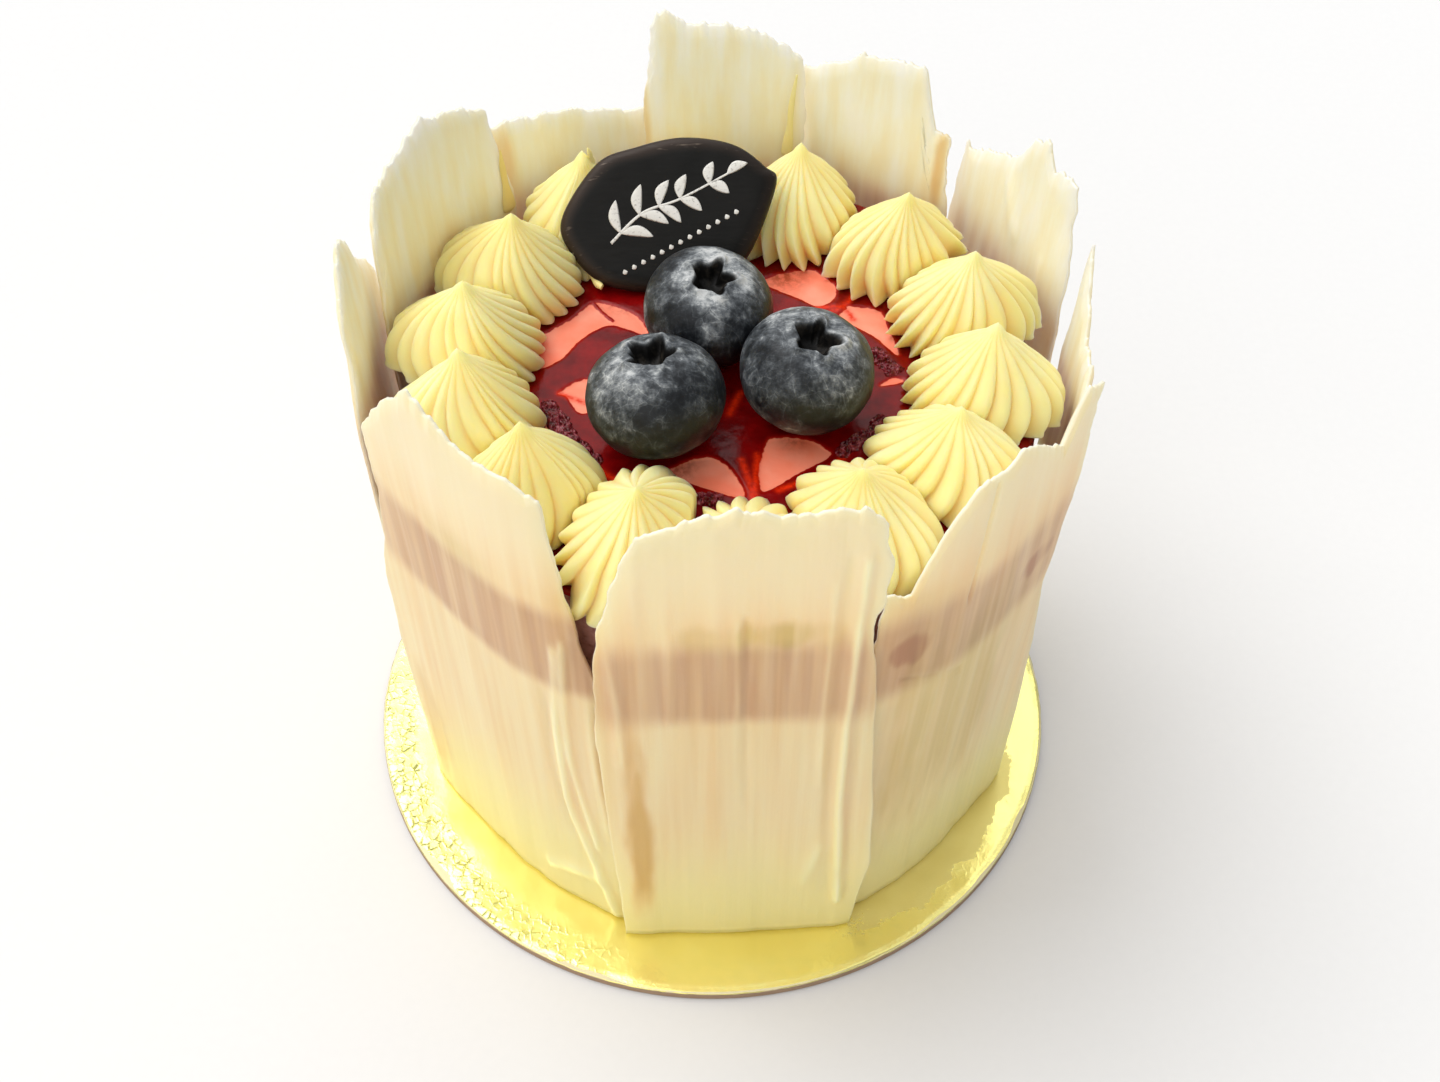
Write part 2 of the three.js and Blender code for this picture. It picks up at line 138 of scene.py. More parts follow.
SHEET_THICKNESS = 1.4
WRAP_RADIUS = 50
SHEETS = [
    dict(
        name="sheet_front", facing=-87, standoff=48.8, lean=0.03, wrap=(False, False),
        left=(-18.3, -19.2, -20, -20.6, -19.6, -14.1),
        right=(18.5, 20.8, 19.6, 18.4, 17.5, 18.2),
        top=(104.6, 106.8, 108.5, 108.7, 109.8, 109.2, 108.7, 108.2, 109.6, 108.6, 105.5),
    ),
    dict(
        name="sheet_front_right", facing=-40, standoff=48.8, lean=0.05, wrap=(True, False),
        left=(-25, -25, -25, -24.8, -24.6, -24.2),
        right=(18.2, 18.3, 16.8, 12.9, 15.3, 15.2),
        top=(88.5, 87.3, 97, 103.6, 103.3, 105, 103.5, 100, 97, 105.2, 102.5),
    ),
    dict(
        name="sheet_right", facing=2, standoff=49, lean=0.05, wrap=(True, False),
        left=(-20, -20, -20, -20, -19.5, -18.5),
        right=(4.2, 4.6, 5, 5.1, 5, 4.4),
        top=(86, 88, 91, 93.5, 92, 91.5, 91, 94.5, 96.5, 99, 102.6),
    ),
    dict(
        name="sheet_rear_right", facing=27, standoff=49.4, lean=0.055, wrap=(False, False),
        left=(-11.5, -11.5, -11.3, -11.2, -10.8, -8.8),
        right=(21.5, 22, 22, 22, 21.8, 19.1),
        top=(103.9, 104.3, 103.6, 107, 105.6, 101, 99, 97.5, 95.8, 94.5, 93.6),
    ),
    dict(
        name="sheet_back_right", facing=56, standoff=49.4, lean=0.04, wrap=(False, False),
        left=(-8.5, -8.8, -9.2, -9.6, -8.8, -7.5),
        right=(18.5, 19, 19.3, 19.5, 19.5, 20.8),
        top=(96.5, 96.8, 106.5, 106.8, 106.8, 106.2, 105.6, 103.8, 101.5, 100.2, 99),
    ),
    dict(
        name="sheet_back", facing=91, standoff=48.8, lean=0.04, wrap=(False, False),
        left=(-13, -13.2, -13.5, -13.8, -14, -13.3),
        right=(13.5, 13.5, 13.5, 13.2, 12.3, 10.6),
        top=(102.4, 104.6, 106, 107.5, 108.2, 108.7, 109, 109.2, 109.4, 111, 108.3),
    ),
    dict(
        name="sheet_back_left", facing=119, standoff=51.4, lean=0.04, wrap=(False, False),
        left=(-17, -17, -17, -17, -17, -17),
        right=(14, 14, 14, 14, 14, 14),
        top=(90.5, 91.5, 92, 93.3, 94.4, 95.3, 95.8, 96, 96.4, 96.9, 97.4),
    ),
    dict(
        name="sheet_rear_left", facing=149, standoff=48.8, lean=0.04, wrap=(True, True),
        left=(-18.5, -18.3, -18, -17.5, -16.2, -12.6),
        right=(21, 21, 21.3, 21.5, 21.5, 20.4),
        top=(103.5, 105.3, 106.6, 107.2, 109, 109, 107.5, 107, 106.3, 105.3, 99),
    ),
    dict(
        name="sheet_left", facing=180, standoff=50.1, lean=0.05, wrap=(False, False),
        left=(-17, -17, -17, -17, -17, -17),
        right=(12, 12.2, 12.2, 11.6, 10.6, 5),
        top=(88, 91, 94, 96.4, 98.8, 103.6, 105.3, 105.9, 103.8, 100.2, 96.8),
    ),
    dict(
        name="sheet_front_left", facing=-138, standoff=48.8, lean=0.03, wrap=(False, True),
        left=(-21.3, -22.2, -22.8, -22.3, -18.7, -18.3),
        right=(27, 27, 26.5, 25, 21.3, 19),
        top=(93, 98, 102.5, 106.5, 111, 110, 108.3, 107, 106, 106.3, 104.5),
    ),
]

# Folds, smears and cracks in the sheets, as (face, line of (across, height)
# points, half width, rise). A groove or crack has a negative rise.
SHEET_MARKS = {
    "sheet_front": [
        ("outer", [(15.4, 99), (14.7, 69), (14.5, 60), (14.8, 39), (15.9, 13)], 0.6, 1.0),
        ("outer", [(13.3, 99), (12.8, 70), (12.9, 40), (13.8, 15)], 0.55, -0.4),
        ("outer", [(16.9, 90), (16.2, 60), (16.6, 36), (17.4, 15)], 0.6, -0.35),
        ("outer", [(11.6, 95), (11.2, 70), (11.5, 48)], 0.4, 0.3),
        ("outer", [(18.0, 99), (19.6, 80), (19.9, 50), (20.6, 22), (20.0, 12)], 0.55, 0.6),
        ("outer", [(10.3, 20), (11.4, 25), (12.6, 30)], 0.8, 0.6),
        ("outer", [(-0.9, 88), (-0.8, 66)], 0.5, 0.25),
        ("outer", [(0.2, 88), (0.6, 45)], 0.5, -0.3),
        ("outer", [(-9.9, 84), (-10.2, 66)], 0.5, 0.25),
        ("outer", [(-12.5, 103.2), (-4, 104.6), (4, 104.9), (12, 104.2)], 0.9, -0.45),
        ("outer", [(-18.6, 84), (-17.4, 70), (-17.2, 56)], 0.7, 0.5),
    ],
    "sheet_front_left": [
        ("outer", [(18.6, 74), (17.1, 51), (17.1, 34), (20.2, 19.5), (23.3, 4)], 0.6, 0.9),
        ("outer", [(20.2, 76), (19.0, 60), (18.9, 44), (21.5, 24)], 0.5, 0.6),
        ("outer", [(15.6, 62), (15.2, 44), (16.8, 26)], 0.6, -0.35),
        ("outer", [(23.4, 70), (22.8, 50), (23.6, 30)], 0.6, 0.45),
        ("outer", [(11.1, 10.5), (15.5, 12.5), (21, 13.5)], 0.7, 0.7),
    ],
    "sheet_front_right": [
        ("outer", [(-8.6, 102), (-9.0, 92), (-9.8, 80)], 0.28, -0.6),
        ("outer", [(-19.8, 68), (-14, 65), (-8, 62)], 0.35, -0.3),
    ],
    "sheet_rear_right": [
        ("inner", [(6.4, 95), (4.9, 91), (3.4, 88)], 0.8, 0.7),
        ("inner", [(-4.4, 87), (-5.0, 82)], 0.6, 0.5),
    ],
    "sheet_back": [
        ("inner", [(10.0, 106), (10.4, 103), (10.2, 100)], 0.5, 0.4),
        ("inner", [(-12.6, 102), (-12.9, 90), (-13.0, 82)], 0.8, 0.35),
    ],
}

# The chocolate sets soft, so each mark is wider and lower than the line it was drawn as.
FOLD_SPREAD = 1.4
FOLD_HEIGHT = 0.8

# Painted shade on the sheets, as (shade, across, height, half width, half height,
# strength): olive where cream stands behind and shows through, amber painted shade
# over a hollow, mauve where the mousse shows through.
SHEET_PAINTED_SHADE = {
    "sheet_front": [
        ("amber", -15.0, 31, 2.2, 22, 1.0),
        ("amber", -15.3, 50, 1.9, 14, 0.45),
        ("olive", 4.5, 85.0, 6.5, 3.4, 1.0),
        ("olive", -5.0, 84.5, 5.0, 3.6, 0.6),
        ("olive", 11.0, 84.0, 3.0, 3.0, 0.4),
    ],
    "sheet_front_left": [
        ("amber", -17.0, 22, 4.0, 16, 0.5),
        ("amber", 24.6, 44, 1.7, 20, 0.7),
        ("mauve", -9.0, 71, 8.0, 4.2, 0.55),
        ("mauve", 5.0, 73, 8.0, 4.4, 0.55),
    ],
    "sheet_front_right": [
        ("mauve", -19.5, 74.5, 5.0, 4.5, 1.0),
        ("mauve", -12.0, 79.5, 4.0, 3.4, 0.6),
        ("mauve", 6.5, 73.8, 6.0, 4.0, 1.0),
        # Painted shade: the whole front right sheet is darker olive, as it stands in shade.
        ("olive", -8.0, 50, 15.0, 30, 0.8),
    ],
    "sheet_back": [("amber", 12.6, 96, 1.3, 16, 0.6)],
    "sheet_back_right": [("amber", -6.6, 93, 1.3, 13, 0.7)],
    "sheet_back_left": [("amber", 11.5, 90, 2.5, 9, 0.35)],
}

# Nibs and notches in the sheets' tops, as (share of the width, half width as a
# share, rise in mm).
SHEET_NIBS = {
    "sheet_back": [(0.955, 0.012, 1.1)],
    "sheet_front_left": [(0.36, 0.01, 0.5)],
}


# -------------------------------------------------------------- camera, stage

CAMERA_ELEVATION = 49.11
CAMERA_ROLL = 0.17
CAMERA_DISTANCE = 298.27
CAMERA_TARGET = (1.28, 0.0, 44.61)
LENS = 45.0


def make_camera():
    """Looks along +Y and down at the middle of the cake, with a slight roll."""
    elevation = math.radians(CAMERA_ELEVATION)
    roll = math.radians(CAMERA_ROLL)
    back = Vector((0, -math.cos(elevation), math.sin(elevation)))
    level_right = Vector((1, 0, 0))
    level_up = back.cross(level_right)
    right = math.cos(roll) * level_right + math.sin(roll) * level_up
    up = math.cos(roll) * level_up - math.sin(roll) * level_right
    data = bpy.data.cameras.new("camera")
    data.lens = LENS
    data.clip_start = 0.01
    camera = bpy.data.objects.new("camera", data)
    bpy.context.scene.collection.objects.link(camera)
    place = Matrix((right, up, back)).transposed().to_4x4()
    place.translation = (Vector(CAMERA_TARGET) + CAMERA_DISTANCE * back) * MM
    camera.matrix_world = place
    bpy.context.scene.camera = camera


def add_sun(name, azimuth, elevation, strength, softness, tint):
    """Even light from a far, wide source in the given direction."""
    data = bpy.data.lights.new(name, "SUN")
    data.energy = strength
    data.angle = math.radians(softness)
    data.color = tint
    light = bpy.data.objects.new(name, data)
    bpy.context.scene.collection.objects.link(light)
    a, e = math.radians(azimuth), math.radians(elevation)
    towards = Vector((math.cos(a) * math.cos(e), math.sin(a) * math.cos(e), math.sin(e)))
    light.rotation_mode = "QUATERNION"
    light.rotation_quaternion = towards.to_track_quat("Z", "Y")


def light_the_stage():
    """A wide key from the back left, washes from above and behind, a broad front
    fill, and a pale room."""
    add_sun("key", 152, 58, 1.65, 44, (1.0, 0.985, 0.965))
    add_sun("overhead", 100, 80, 0.66, 80, (1.0, 1.0, 1.0))
    add_sun("back_wash", 86, 48, 0.42, 44, (1.0, 0.99, 0.97))
    add_sun("front_fill", -125, 34, 1.0, 70, (1.0, 0.975, 0.945))
    world = bpy.data.worlds.new("room")
    world.use_nodes = True
    background = world.node_tree.nodes["Background"]
    background.inputs["Color"].default_value = (0.96, 0.98, 1.0, 1.0)
    background.inputs["Strength"].default_value = 0.4
    bpy.context.scene.world = world
    bpy.context.scene.view_settings.view_transform = "Standard"


# ------------------------------------------------------------------ materials


def srgb(code):
    """A hex colour such as "#F5E2B5" as linear red, green, blue and alpha."""
    values = [int(code[i:i + 2], 16) / 255 for i in (1, 3, 5)]
    linear = [v / 12.92 if v <= 0.04045 else ((v + 0.055) / 1.055) ** 2.4 for v in values]
    return (*linear, 1.0)


def add(tree, kind, sockets=None, stops=None, **settings):
    """Adds a node with its settings; a socket takes a value or another's output."""
    node = tree.nodes.new(kind)
    for name, value in settings.items():
        setattr(node, name, value)
    for key, value in (sockets or {}).items():
        if isinstance(value, bpy.types.NodeSocket):
            tree.links.new(value, node.inputs[key])
        else:
            node.inputs[key].default_value = value
    if stops:
        while len(node.color_ramp.elements) < len(stops):
            node.color_ramp.elements.new(1.0)
        for element, (position, code) in zip(node.color_ramp.elements, stops):
            element.position = position
            element.color = srgb(code)
    return node


def new_material(name, **values):
    """A material with its shader's own sockets set; gives the tree and the shader."""
    material = bpy.data.materials.new(name)
    material.use_nodes = True
    tree = material.node_tree
    shader = tree.nodes["Principled BSDF"]
    for socket, value in values.items():
        shader.inputs[socket.replace("_", " ")].default_value = value
    return material, tree, shader


def set_scatter(shader, weight, depth, reach):
    """Light wanders under the surface: how much, how far, and how far by colour."""
    shader.inputs["Subsurface Weight"].default_value = weight
    shader.inputs["Subsurface Scale"].default_value = depth * MM
    shader.inputs["Subsurface Radius"].default_value = reach


def mixed(tree, factor, first, second, blend="MIX"):
    """The colour socket of a mix of two colours."""
    sockets = {0: factor, 6: first, 7: second}
    made = add(tree, "ShaderNodeMix", sockets, data_type="RGBA", blend_type=blend)
    return made.outputs[2]


def reading(tree, name, output="Fac"):
    """A value stored at each point of the piece."""
    return add(tree, "ShaderNodeAttribute", attribute_name=name).outputs[output]


def cloudiness(tree, place, scale, detail=3.0, roughness=0.5):
    """Noise from 0 to 1 over a place, with so many waves for each of its units."""
    sockets = {"Vector": place, "Scale": scale, "Detail": detail, "Roughness": roughness}
    return add(tree, "ShaderNodeTexNoise", sockets).outputs["Fac"]


def ranged(tree, value, low, high, start=0.0, end=1.0):
    """A value stretched from low..high to start..end and held inside."""
    sockets = {0: value, 1: low, 2: high, 3: start, 4: end}
    return add(tree, "ShaderNodeMapRange", sockets).outputs[0]


def calculated(tree, operation, first, second):
    return add(tree, "ShaderNodeMath", {0: first, 1: second}, operation=operation).outputs[0]


def product(tree, first, second):
    return calculated(tree, "MULTIPLY", first, second)


def summed(tree, first, second):
    return calculated(tree, "ADD", first, second)


def paint(tree, shader, tint, roughness=None):
    """Gives the surface its colour and, where that varies too, its roughness."""
    tree.links.new(tint, shader.inputs["Base Color"])
    if roughness is not None:
        tree.links.new(roughness, shader.inputs["Roughness"])


def bumped(tree, shader, height, depth, below=None):
    """Tilts the shading by a height; depth is in millimetres."""
    sockets = {"Height": height, "Distance": depth * MM, "Strength": 1.0}
    if below is not None:
        sockets["Normal"] = below
    bump = add(tree, "ShaderNodeBump", sockets).outputs["Normal"]
    tree.links.new(bump, shader.inputs["Normal"])
    return bump


def object_place(tree):
    return add(tree, "ShaderNodeTexCoord").outputs["Object"]


def stretched(tree, place, scale):
    """A place with each axis scaled on its own."""
    return add(tree, "ShaderNodeMapping", {"Vector": place, "Scale": scale}).outputs["Vector"]


def white_chocolate():
    """Tempered white chocolate, spread and scraped: waxy, ivory, faintly see-through.

    The scraper's strokes run upwards. Painted light: inner faces are painted paler for
    light inside the ring, the foot warmer for light thrown up by the foil, the part above
    the cake paler for light coming through, and fold crests get a painted highlight.
    Painted shade: where the mousse or piped cream stands behind a sheet its colour is
    painted on, and over a hollow the sheet is painted amber."""
    material, tree, shader = new_material("scraped_white_chocolate", Roughness=0.4, IOR=1.46)
    set_scatter(shader, 0.85, 2.2, (1.0, 0.93, 0.8))
    place = reading(tree, "scrape", "Vector")
    broad = cloudiness(tree, stretched(tree, place, (0.22, 0.012, 7.0)), 1.0)
    fine = cloudiness(tree, stretched(tree, place, (0.6, 0.02, 3.0)), 1.0, 3.0, 0.5)
    ivory = mixed(tree, ranged(tree, broad, 0.32, 0.68), srgb("#F7DDAC"), srgb("#EECB94"))
    ivory = mixed(tree, ranged(tree, fine, 0.4, 0.75, 0.0, 0.3), ivory, srgb("#F9EAC4"))
    # Painted light: the foot warmer yellow for light thrown up by the foil, and the part above the cake
    # paler for light coming through where nothing stands behind.
    for name, code in (("foot", "#FFE4A2"), ("rim", "#F5E4BE")):
        ivory = mixed(tree, reading(tree, name), ivory, srgb(code))
    # Painted light: inner faces painted paler, for light bouncing inside the ring and coming through the
    # sheets.
    swept = cloudiness(tree, stretched(tree, place, (0.34, 0.05, 4.0)), 1.0, 4.0, 0.55)
    pale = mixed(tree, ranged(tree, swept, 0.35, 0.65), srgb("#FFFBEE"), srgb("#FAEFD6"))
    ivory = mixed(tree, product(tree, reading(tree, "inside"), 0.9), ivory, pale)
    # Painted shade: amber where a hollow lies behind the sheet.
    ivory = mixed(tree, product(tree, reading(tree, "amber"), 0.8), ivory, srgb("#CFA350"))
    stroke = cloudiness(tree, stretched(tree, place, (0.4, 0.016, 5.0)), 1.0, 2.0)
    stroke = ranged(tree, stroke, 0.3, 0.6, 0.55, 1.0)
    # Painted shade: olive where cream stands behind the sheet, also over the whole front right sheet, and
    # mauve where the mousse stands behind it.
    olive = product(tree, reading(tree, "olive"), stroke)
    ivory = mixed(tree, product(tree, olive, 0.75), ivory, srgb("#CDB260"))
    mauve = product(tree, reading(tree, "mauve"), stroke)
    colour = mixed(tree, mauve, ivory, srgb("#C3A19A"), "MULTIPLY")
    # Painted highlight: raised folds painted paler; their smaller roughness is real.
    painted_crest_highlight = reading(tree, "painted_crest_highlight")
    colour = mixed(tree, product(tree, painted_crest_highlight, 0.45), colour, srgb("#FFF6C4"))
    paint(tree, shader, colour, ranged(tree, painted_crest_highlight, 0.0, 1.0, 0.42, 0.3))
    speck = cloudiness(tree, place, 1.4, 3.0)
    relief = summed(tree, fine, product(tree, speck, 0.3))
    bumped(tree, shader, relief, 0.08)
    return material


def piped_cream(name, weight, depth):
    """Whipped butter cream: soft and pale yellow, with painted shade in deeper yellow
    between the ridges and near the foot. Light wanders far in a thick kiss and hardly
    at all in a thin smear."""
    material, tree, shader = new_material(name, Roughness=0.48, IOR=1.45)
    set_scatter(shader, weight, depth, (1.0, 0.86, 0.45))
    place = object_place(tree)
    valley = reading(tree, "valley")
    cloud = cloudiness(tree, place, 0.12 * PER_MM)
    ridge = mixed(tree, ranged(tree, cloud, 0.35, 0.65), srgb("#FAEEAE"), srgb("#F7E79C"))
    # Painted shade: deeper yellow in the valleys and near the foot.
    colour = mixed(tree, ranged(tree, valley, 0.15, 1.0, 0.0, 0.75), ridge, srgb("#F2C96E"))
    paint(tree, shader, colour)
    grain = cloudiness(tree, place, 1.1 * PER_MM, 4.0)
    bumped(tree, shader, grain, 0.05)
    return material


def cream_coating():
    """Cream spread round the cake with a palette knife: matt and slightly streaked."""
    material, tree, shader = new_material("spread_cream", Roughness=0.6, IOR=1.45)
    set_scatter(shader, 0.3, 2.0, (1.0, 0.75, 0.35))
    place = stretched(tree, object_place(tree), (0.1, 0.1, 0.8))
    streak = cloudiness(tree, place, PER_MM)
    colour = mixed(tree, streak, srgb("#F5E6B4"), srgb("#EBD59A"))
    paint(tree, shader, colour)
    bumped(tree, shader, streak, 0.15)
    return material


def berry_mousse_side():
    """Set berry mousse: dull mauve with darker flecks of fruit."""
    material, tree, shader = new_material("set_berry_mousse", Roughness=0.5, IOR=1.4)
    set_scatter(shader, 0.3, 1.5, (1.0, 0.4, 0.3))
    place = object_place(tree)
    fleck = cloudiness(tree, place, 0.7 * PER_MM, 4.0)
    stops = [(0.3, "#8C5A56"), (0.5, "#B07F76"), (0.75, "#C49588")]
    ramp = add(tree, "ShaderNodeValToRGB", {"Fac": fleck}, stops)
    paint(tree, shader, ramp.outputs["Color"])
    bumped(tree, shader, fleck, 0.1)
    return material


def mirror_glaze():
    """Fruit glaze on coral jelly: crimson, wet and glassy, feathered into the coral."""
    material, tree, shader = new_material("feathered_fruit_glaze", IOR=1.38)
    set_scatter(shader, 0.12, 1.2, (1.0, 0.25, 0.15))
    shader.inputs["Specular IOR Level"].default_value = 0.28
    place = object_place(tree)
    wander = cloudiness(tree, place, 0.9 * PER_MM, 4.0)
    margin = reading(tree, "coral_margin")
    margin = summed(tree, margin, ranged(tree, wander, 0.3, 0.7, -0.12, 0.12))
    is_coral = ranged(tree, margin, -0.06, 0.1)
    cloud = cloudiness(tree, place, 0.16 * PER_MM)
    coral = mixed(tree, ranged(tree, cloud, 0.35, 0.65), srgb("#FF9E84"), srgb("#FF8466"))
    # Darker brown spots on the coral, broken up by noise.
    brown_spot = reading(tree, "brown_spot")
    crumb = cloudiness(tree, place, 1.1 * PER_MM, 4.0, 0.6)
    brown_spot = product(tree, brown_spot, ranged(tree, crumb, 0.38, 0.6, 0.25, 1.0))
    coral = mixed(tree, brown_spot, coral, srgb("#A8401C"))
    depth = cloudiness(tree, place, 0.3 * PER_MM)
    crimson = mixed(tree, ranged(tree, depth, 0.35, 0.7), srgb("#640205"), srgb("#8A0606"))
    thin = ranged(tree, margin, -1.0, 0.0)
    crimson = mixed(tree, calculated(tree, "POWER", thin, 3.0), crimson, srgb("#A81408"))
    colour = mixed(tree, is_coral, crimson, coral)
    streak = reading(tree, "streak")
    hair = cloudiness(tree, place, 1.6 * PER_MM, 2.0)
    streak = product(tree, streak, ranged(tree, hair, 0.3, 0.6, 0.5, 1.0))
    colour = mixed(tree, streak, colour, srgb("#DE2E0A"))
    paint(tree, shader, colour, ranged(tree, is_coral, 0.0, 1.0, 0.2, 0.42))
    ripple = cloudiness(tree, place, 0.5 * PER_MM, 2.0)
    bumped(tree, shader, ripple, 0.12)
    return material


def berry_jam():
    """Cooked fruit pulp: dark mauve crimson, sticky, with small wet glints."""
    material, tree, shader = new_material("cooked_fruit_jam", Roughness=0.2, IOR=1.48)
    set_scatter(shader, 0.2, 0.8, (1.0, 0.2, 0.15))
    place = object_place(tree)
    pulp = cloudiness(tree, place, 1.1 * PER_MM, 4.0)
    stops = [(0.3, "#3A0208"), (0.5, "#6A0F18"), (0.62, "#8A3440"), (0.76, "#B8747A")]
    ramp = add(tree, "ShaderNodeValToRGB", {"Fac": pulp}, stops)
    paint(tree, shader, ramp.outputs["Color"])
    bumped(tree, shader, pulp, 0.25)
    return material


def blueberry_skin():
    """Ripe blueberry: near-black blue skin under a grey wax coat rubbed off in patches, with painted
    light on it.
    """
    material, tree, shader = new_material("waxy_blueberry_skin", IOR=1.4)
    place = object_place(tree)
    shader.inputs["Specular IOR Level"].default_value = 0.35
    patch = cloudiness(tree, place, 0.13 * PER_MM, 5.0, 0.6)
    mottle = cloudiness(tree, stretched(tree, place, (1.0, 1.0, 0.75)), 0.5 * PER_MM, 5.0, 0.7)
    grain = cloudiness(tree, place, 1.6 * PER_MM, 3.0, 0.6)
    # The wax reading also carries painted light: paler on top and at the back, darker at the front right.
    bloom_and_painted_light = reading(tree, "bloom_and_painted_light")
    wax = summed(tree, ranged(tree, patch, 0.36, 0.66, -0.3, 0.34), bloom_and_painted_light)
    wax = summed(tree, wax, ranged(tree, mottle, 0.35, 0.68, -0.2, 0.24))
    wax = summed(tree, wax, ranged(tree, grain, 0.35, 0.65, -0.06, 0.06))
    lines = {"Vector": stretched(tree, place, (1.0, 2.2, 0.7)), "Scale": 0.38 * PER_MM}
    scratch = add(tree, "ShaderNodeTexVoronoi", lines, feature="DISTANCE_TO_EDGE").outputs[0]
    wax = summed(tree, wax, ranged(tree, scratch, 0.0, 0.035, 0.14, 0.0))
    stops = [
        (0.0, "#121417"), (0.25, "#202327"), (0.45, "#3D4145"), (0.62, "#5F6367"),
        (0.8, "#8C9092"), (1.0, "#C0C2C2"),
    ]
    ramp = add(tree, "ShaderNodeValToRGB", {"Fac": wax}, stops)
    crown = reading(tree, "crown")
    # Inside the crown: near-black brown, the scar's own dark colour with painted shade in its hollow.
    dried_and_shaded = mixed(tree, ranged(tree, mottle, 0.5, 0.75), srgb("#060504"), srgb("#3A342C"))
    colour = mixed(tree, crown, ramp.outputs["Color"], dried_and_shaded)
    paint(tree, shader, colour, ranged(tree, wax, 0.1, 0.7, 0.36, 0.66))
    first = bumped(tree, shader, patch, 0.25)
    bumped(tree, shader, mottle, 0.14, first)
    return material


def dark_chocolate():
    """Moulded dark chocolate: nearly black, satin, browner where light grazes it."""
    material, tree, shader = new_material("moulded_dark_chocolate", IOR=1.46)
    shader.inputs["Specular IOR Level"].default_value = 0.22
    place = object_place(tree)
    cloud = cloudiness(tree, place, 0.14 * PER_MM, 4.0)
    rim = reading(tree, "rim")
    dark = mixed(tree, ranged(tree, cloud, 0.35, 0.7), srgb("#060604"), srgb("#0E0C09"))
    # Painted sheen: the rim painted browner, most on its upper-left side where light falls; the chalky
    # scuffs show only within it.
    colour = mixed(tree, ranged(tree, rim, 0.0, 1.0, 0.0, 0.85), dark, srgb("#3A2E27"))
    scuff = cloudiness(tree, stretched(tree, place, (0.3, 2.0, 1.0)), 1.1 * PER_MM, 4.0)
    chalk = product(tree, rim, ranged(tree, scuff, 0.62, 0.72))
    colour = mixed(tree, chalk, colour, srgb("#6E6257"))
    paint(tree, shader, colour, ranged(tree, scuff, 0.35, 0.75, 0.34, 0.5))
    bumped(tree, shader, scuff, 0.04)
    return material


def cocoa_butter_ink():
    """White cocoa butter print: chalky and a little broken."""
    material, tree, shader = new_material("white_cocoa_butter_print", Roughness=0.6)
    worn = cloudiness(tree, object_place(tree), 2.2 * PER_MM, 3.0)
    colour = mixed(tree, ranged(tree, worn, 0.55, 0.75), srgb("#E4E2DC"), srgb("#A9A6A0"))
    paint(tree, shader, colour)
    return material


def gold_foil():
    """Gold-lacquered foil on card: mirror-like, crackled and speckled towards its rim."""
    material, tree, shader = new_material("crinkled_gold_foil", Metallic=0.78)
    place = object_place(tree)
    crinkle = {"Vector": place, "Scale": 0.75 * PER_MM, "Randomness": 1.0}
    cells = add(tree, "ShaderNodeTexVoronoi", crinkle, feature="DISTANCE_TO_EDGE").outputs[0]
    wander = cloudiness(tree, place, 0.45 * PER_MM, 4.0, 0.6)
    speck = cloudiness(tree, place, 1.3 * PER_MM, 3.0, 0.6)
    crackle = reading(tree, "crackle")
    # Painted reflection: the crackled area painted greener.
    green = product(tree, crackle, ranged(tree, wander, 0.42, 0.58))
    colour = mixed(tree, green, srgb("#FFF498"), srgb("#E0E28E"))
    worn = summed(tree, reading(tree, "worn"), ranged(tree, speck, 0.3, 0.7, -0.3, 0.3))
    worn = ranged(tree, worn, 0.45, 0.55)
    colour = mixed(tree, worn, colour, srgb("#F2E594"))
    paint(tree, shader, colour, ranged(tree, worn, 0.0, 1.0, 0.24, 0.5))
    ridge = ranged(tree, cells, 0.0, 0.16, 1.0, 0.0)
    ridge = product(tree, ridge, green)
    swell = cloudiness(tree, place, 0.07 * PER_MM, 2.0)
    first = bumped(tree, shader, swell, 0.9)
    second = bumped(tree, shader, ridge, 0.1, first)
    bumped(tree, shader, wander, 0.05, second)
    return material


def pressed_board():
    """Grey-brown pressed board, with a pale band painted along its upper edge as a painted highlight."""
    material, tree, shader = new_material("pressed_grey_board", Roughness=0.8)
    place = object_place(tree)
    layer = cloudiness(tree, stretched(tree, place, (0.25, 0.25, 3.0)), PER_MM)
    brown = mixed(tree, layer, srgb("#8A6E58"), srgb("#B39679"))
    height = add(tree, "ShaderNodeSeparateXYZ", {0: place}).outputs["Z"]
    # Painted highlight: a pale band along the board's upper edge.
    lip = ranged(tree, height, 1.4 * MM, 1.7 * MM)
    colour = mixed(tree, lip, brown, srgb("#F3E7B8"))
    paint(tree, shader, colour)
    bumped(tree, shader, layer, 0.1)
    return material


def studio_floor():
    """A seamless sheet of matt paper, a very pale grey."""
    material, tree, shader = new_material("matt_white_paper", Roughness=0.9)
    fibre = cloudiness(tree, object_place(tree), 0.6 * PER_MM, 3.0)
    colour = mixed(tree, fibre, srgb("#E0E0E0"), srgb("#E3E3E3"))
    paint(tree, shader, colour)
    return material


# ------------------------------------------------------------- array helpers


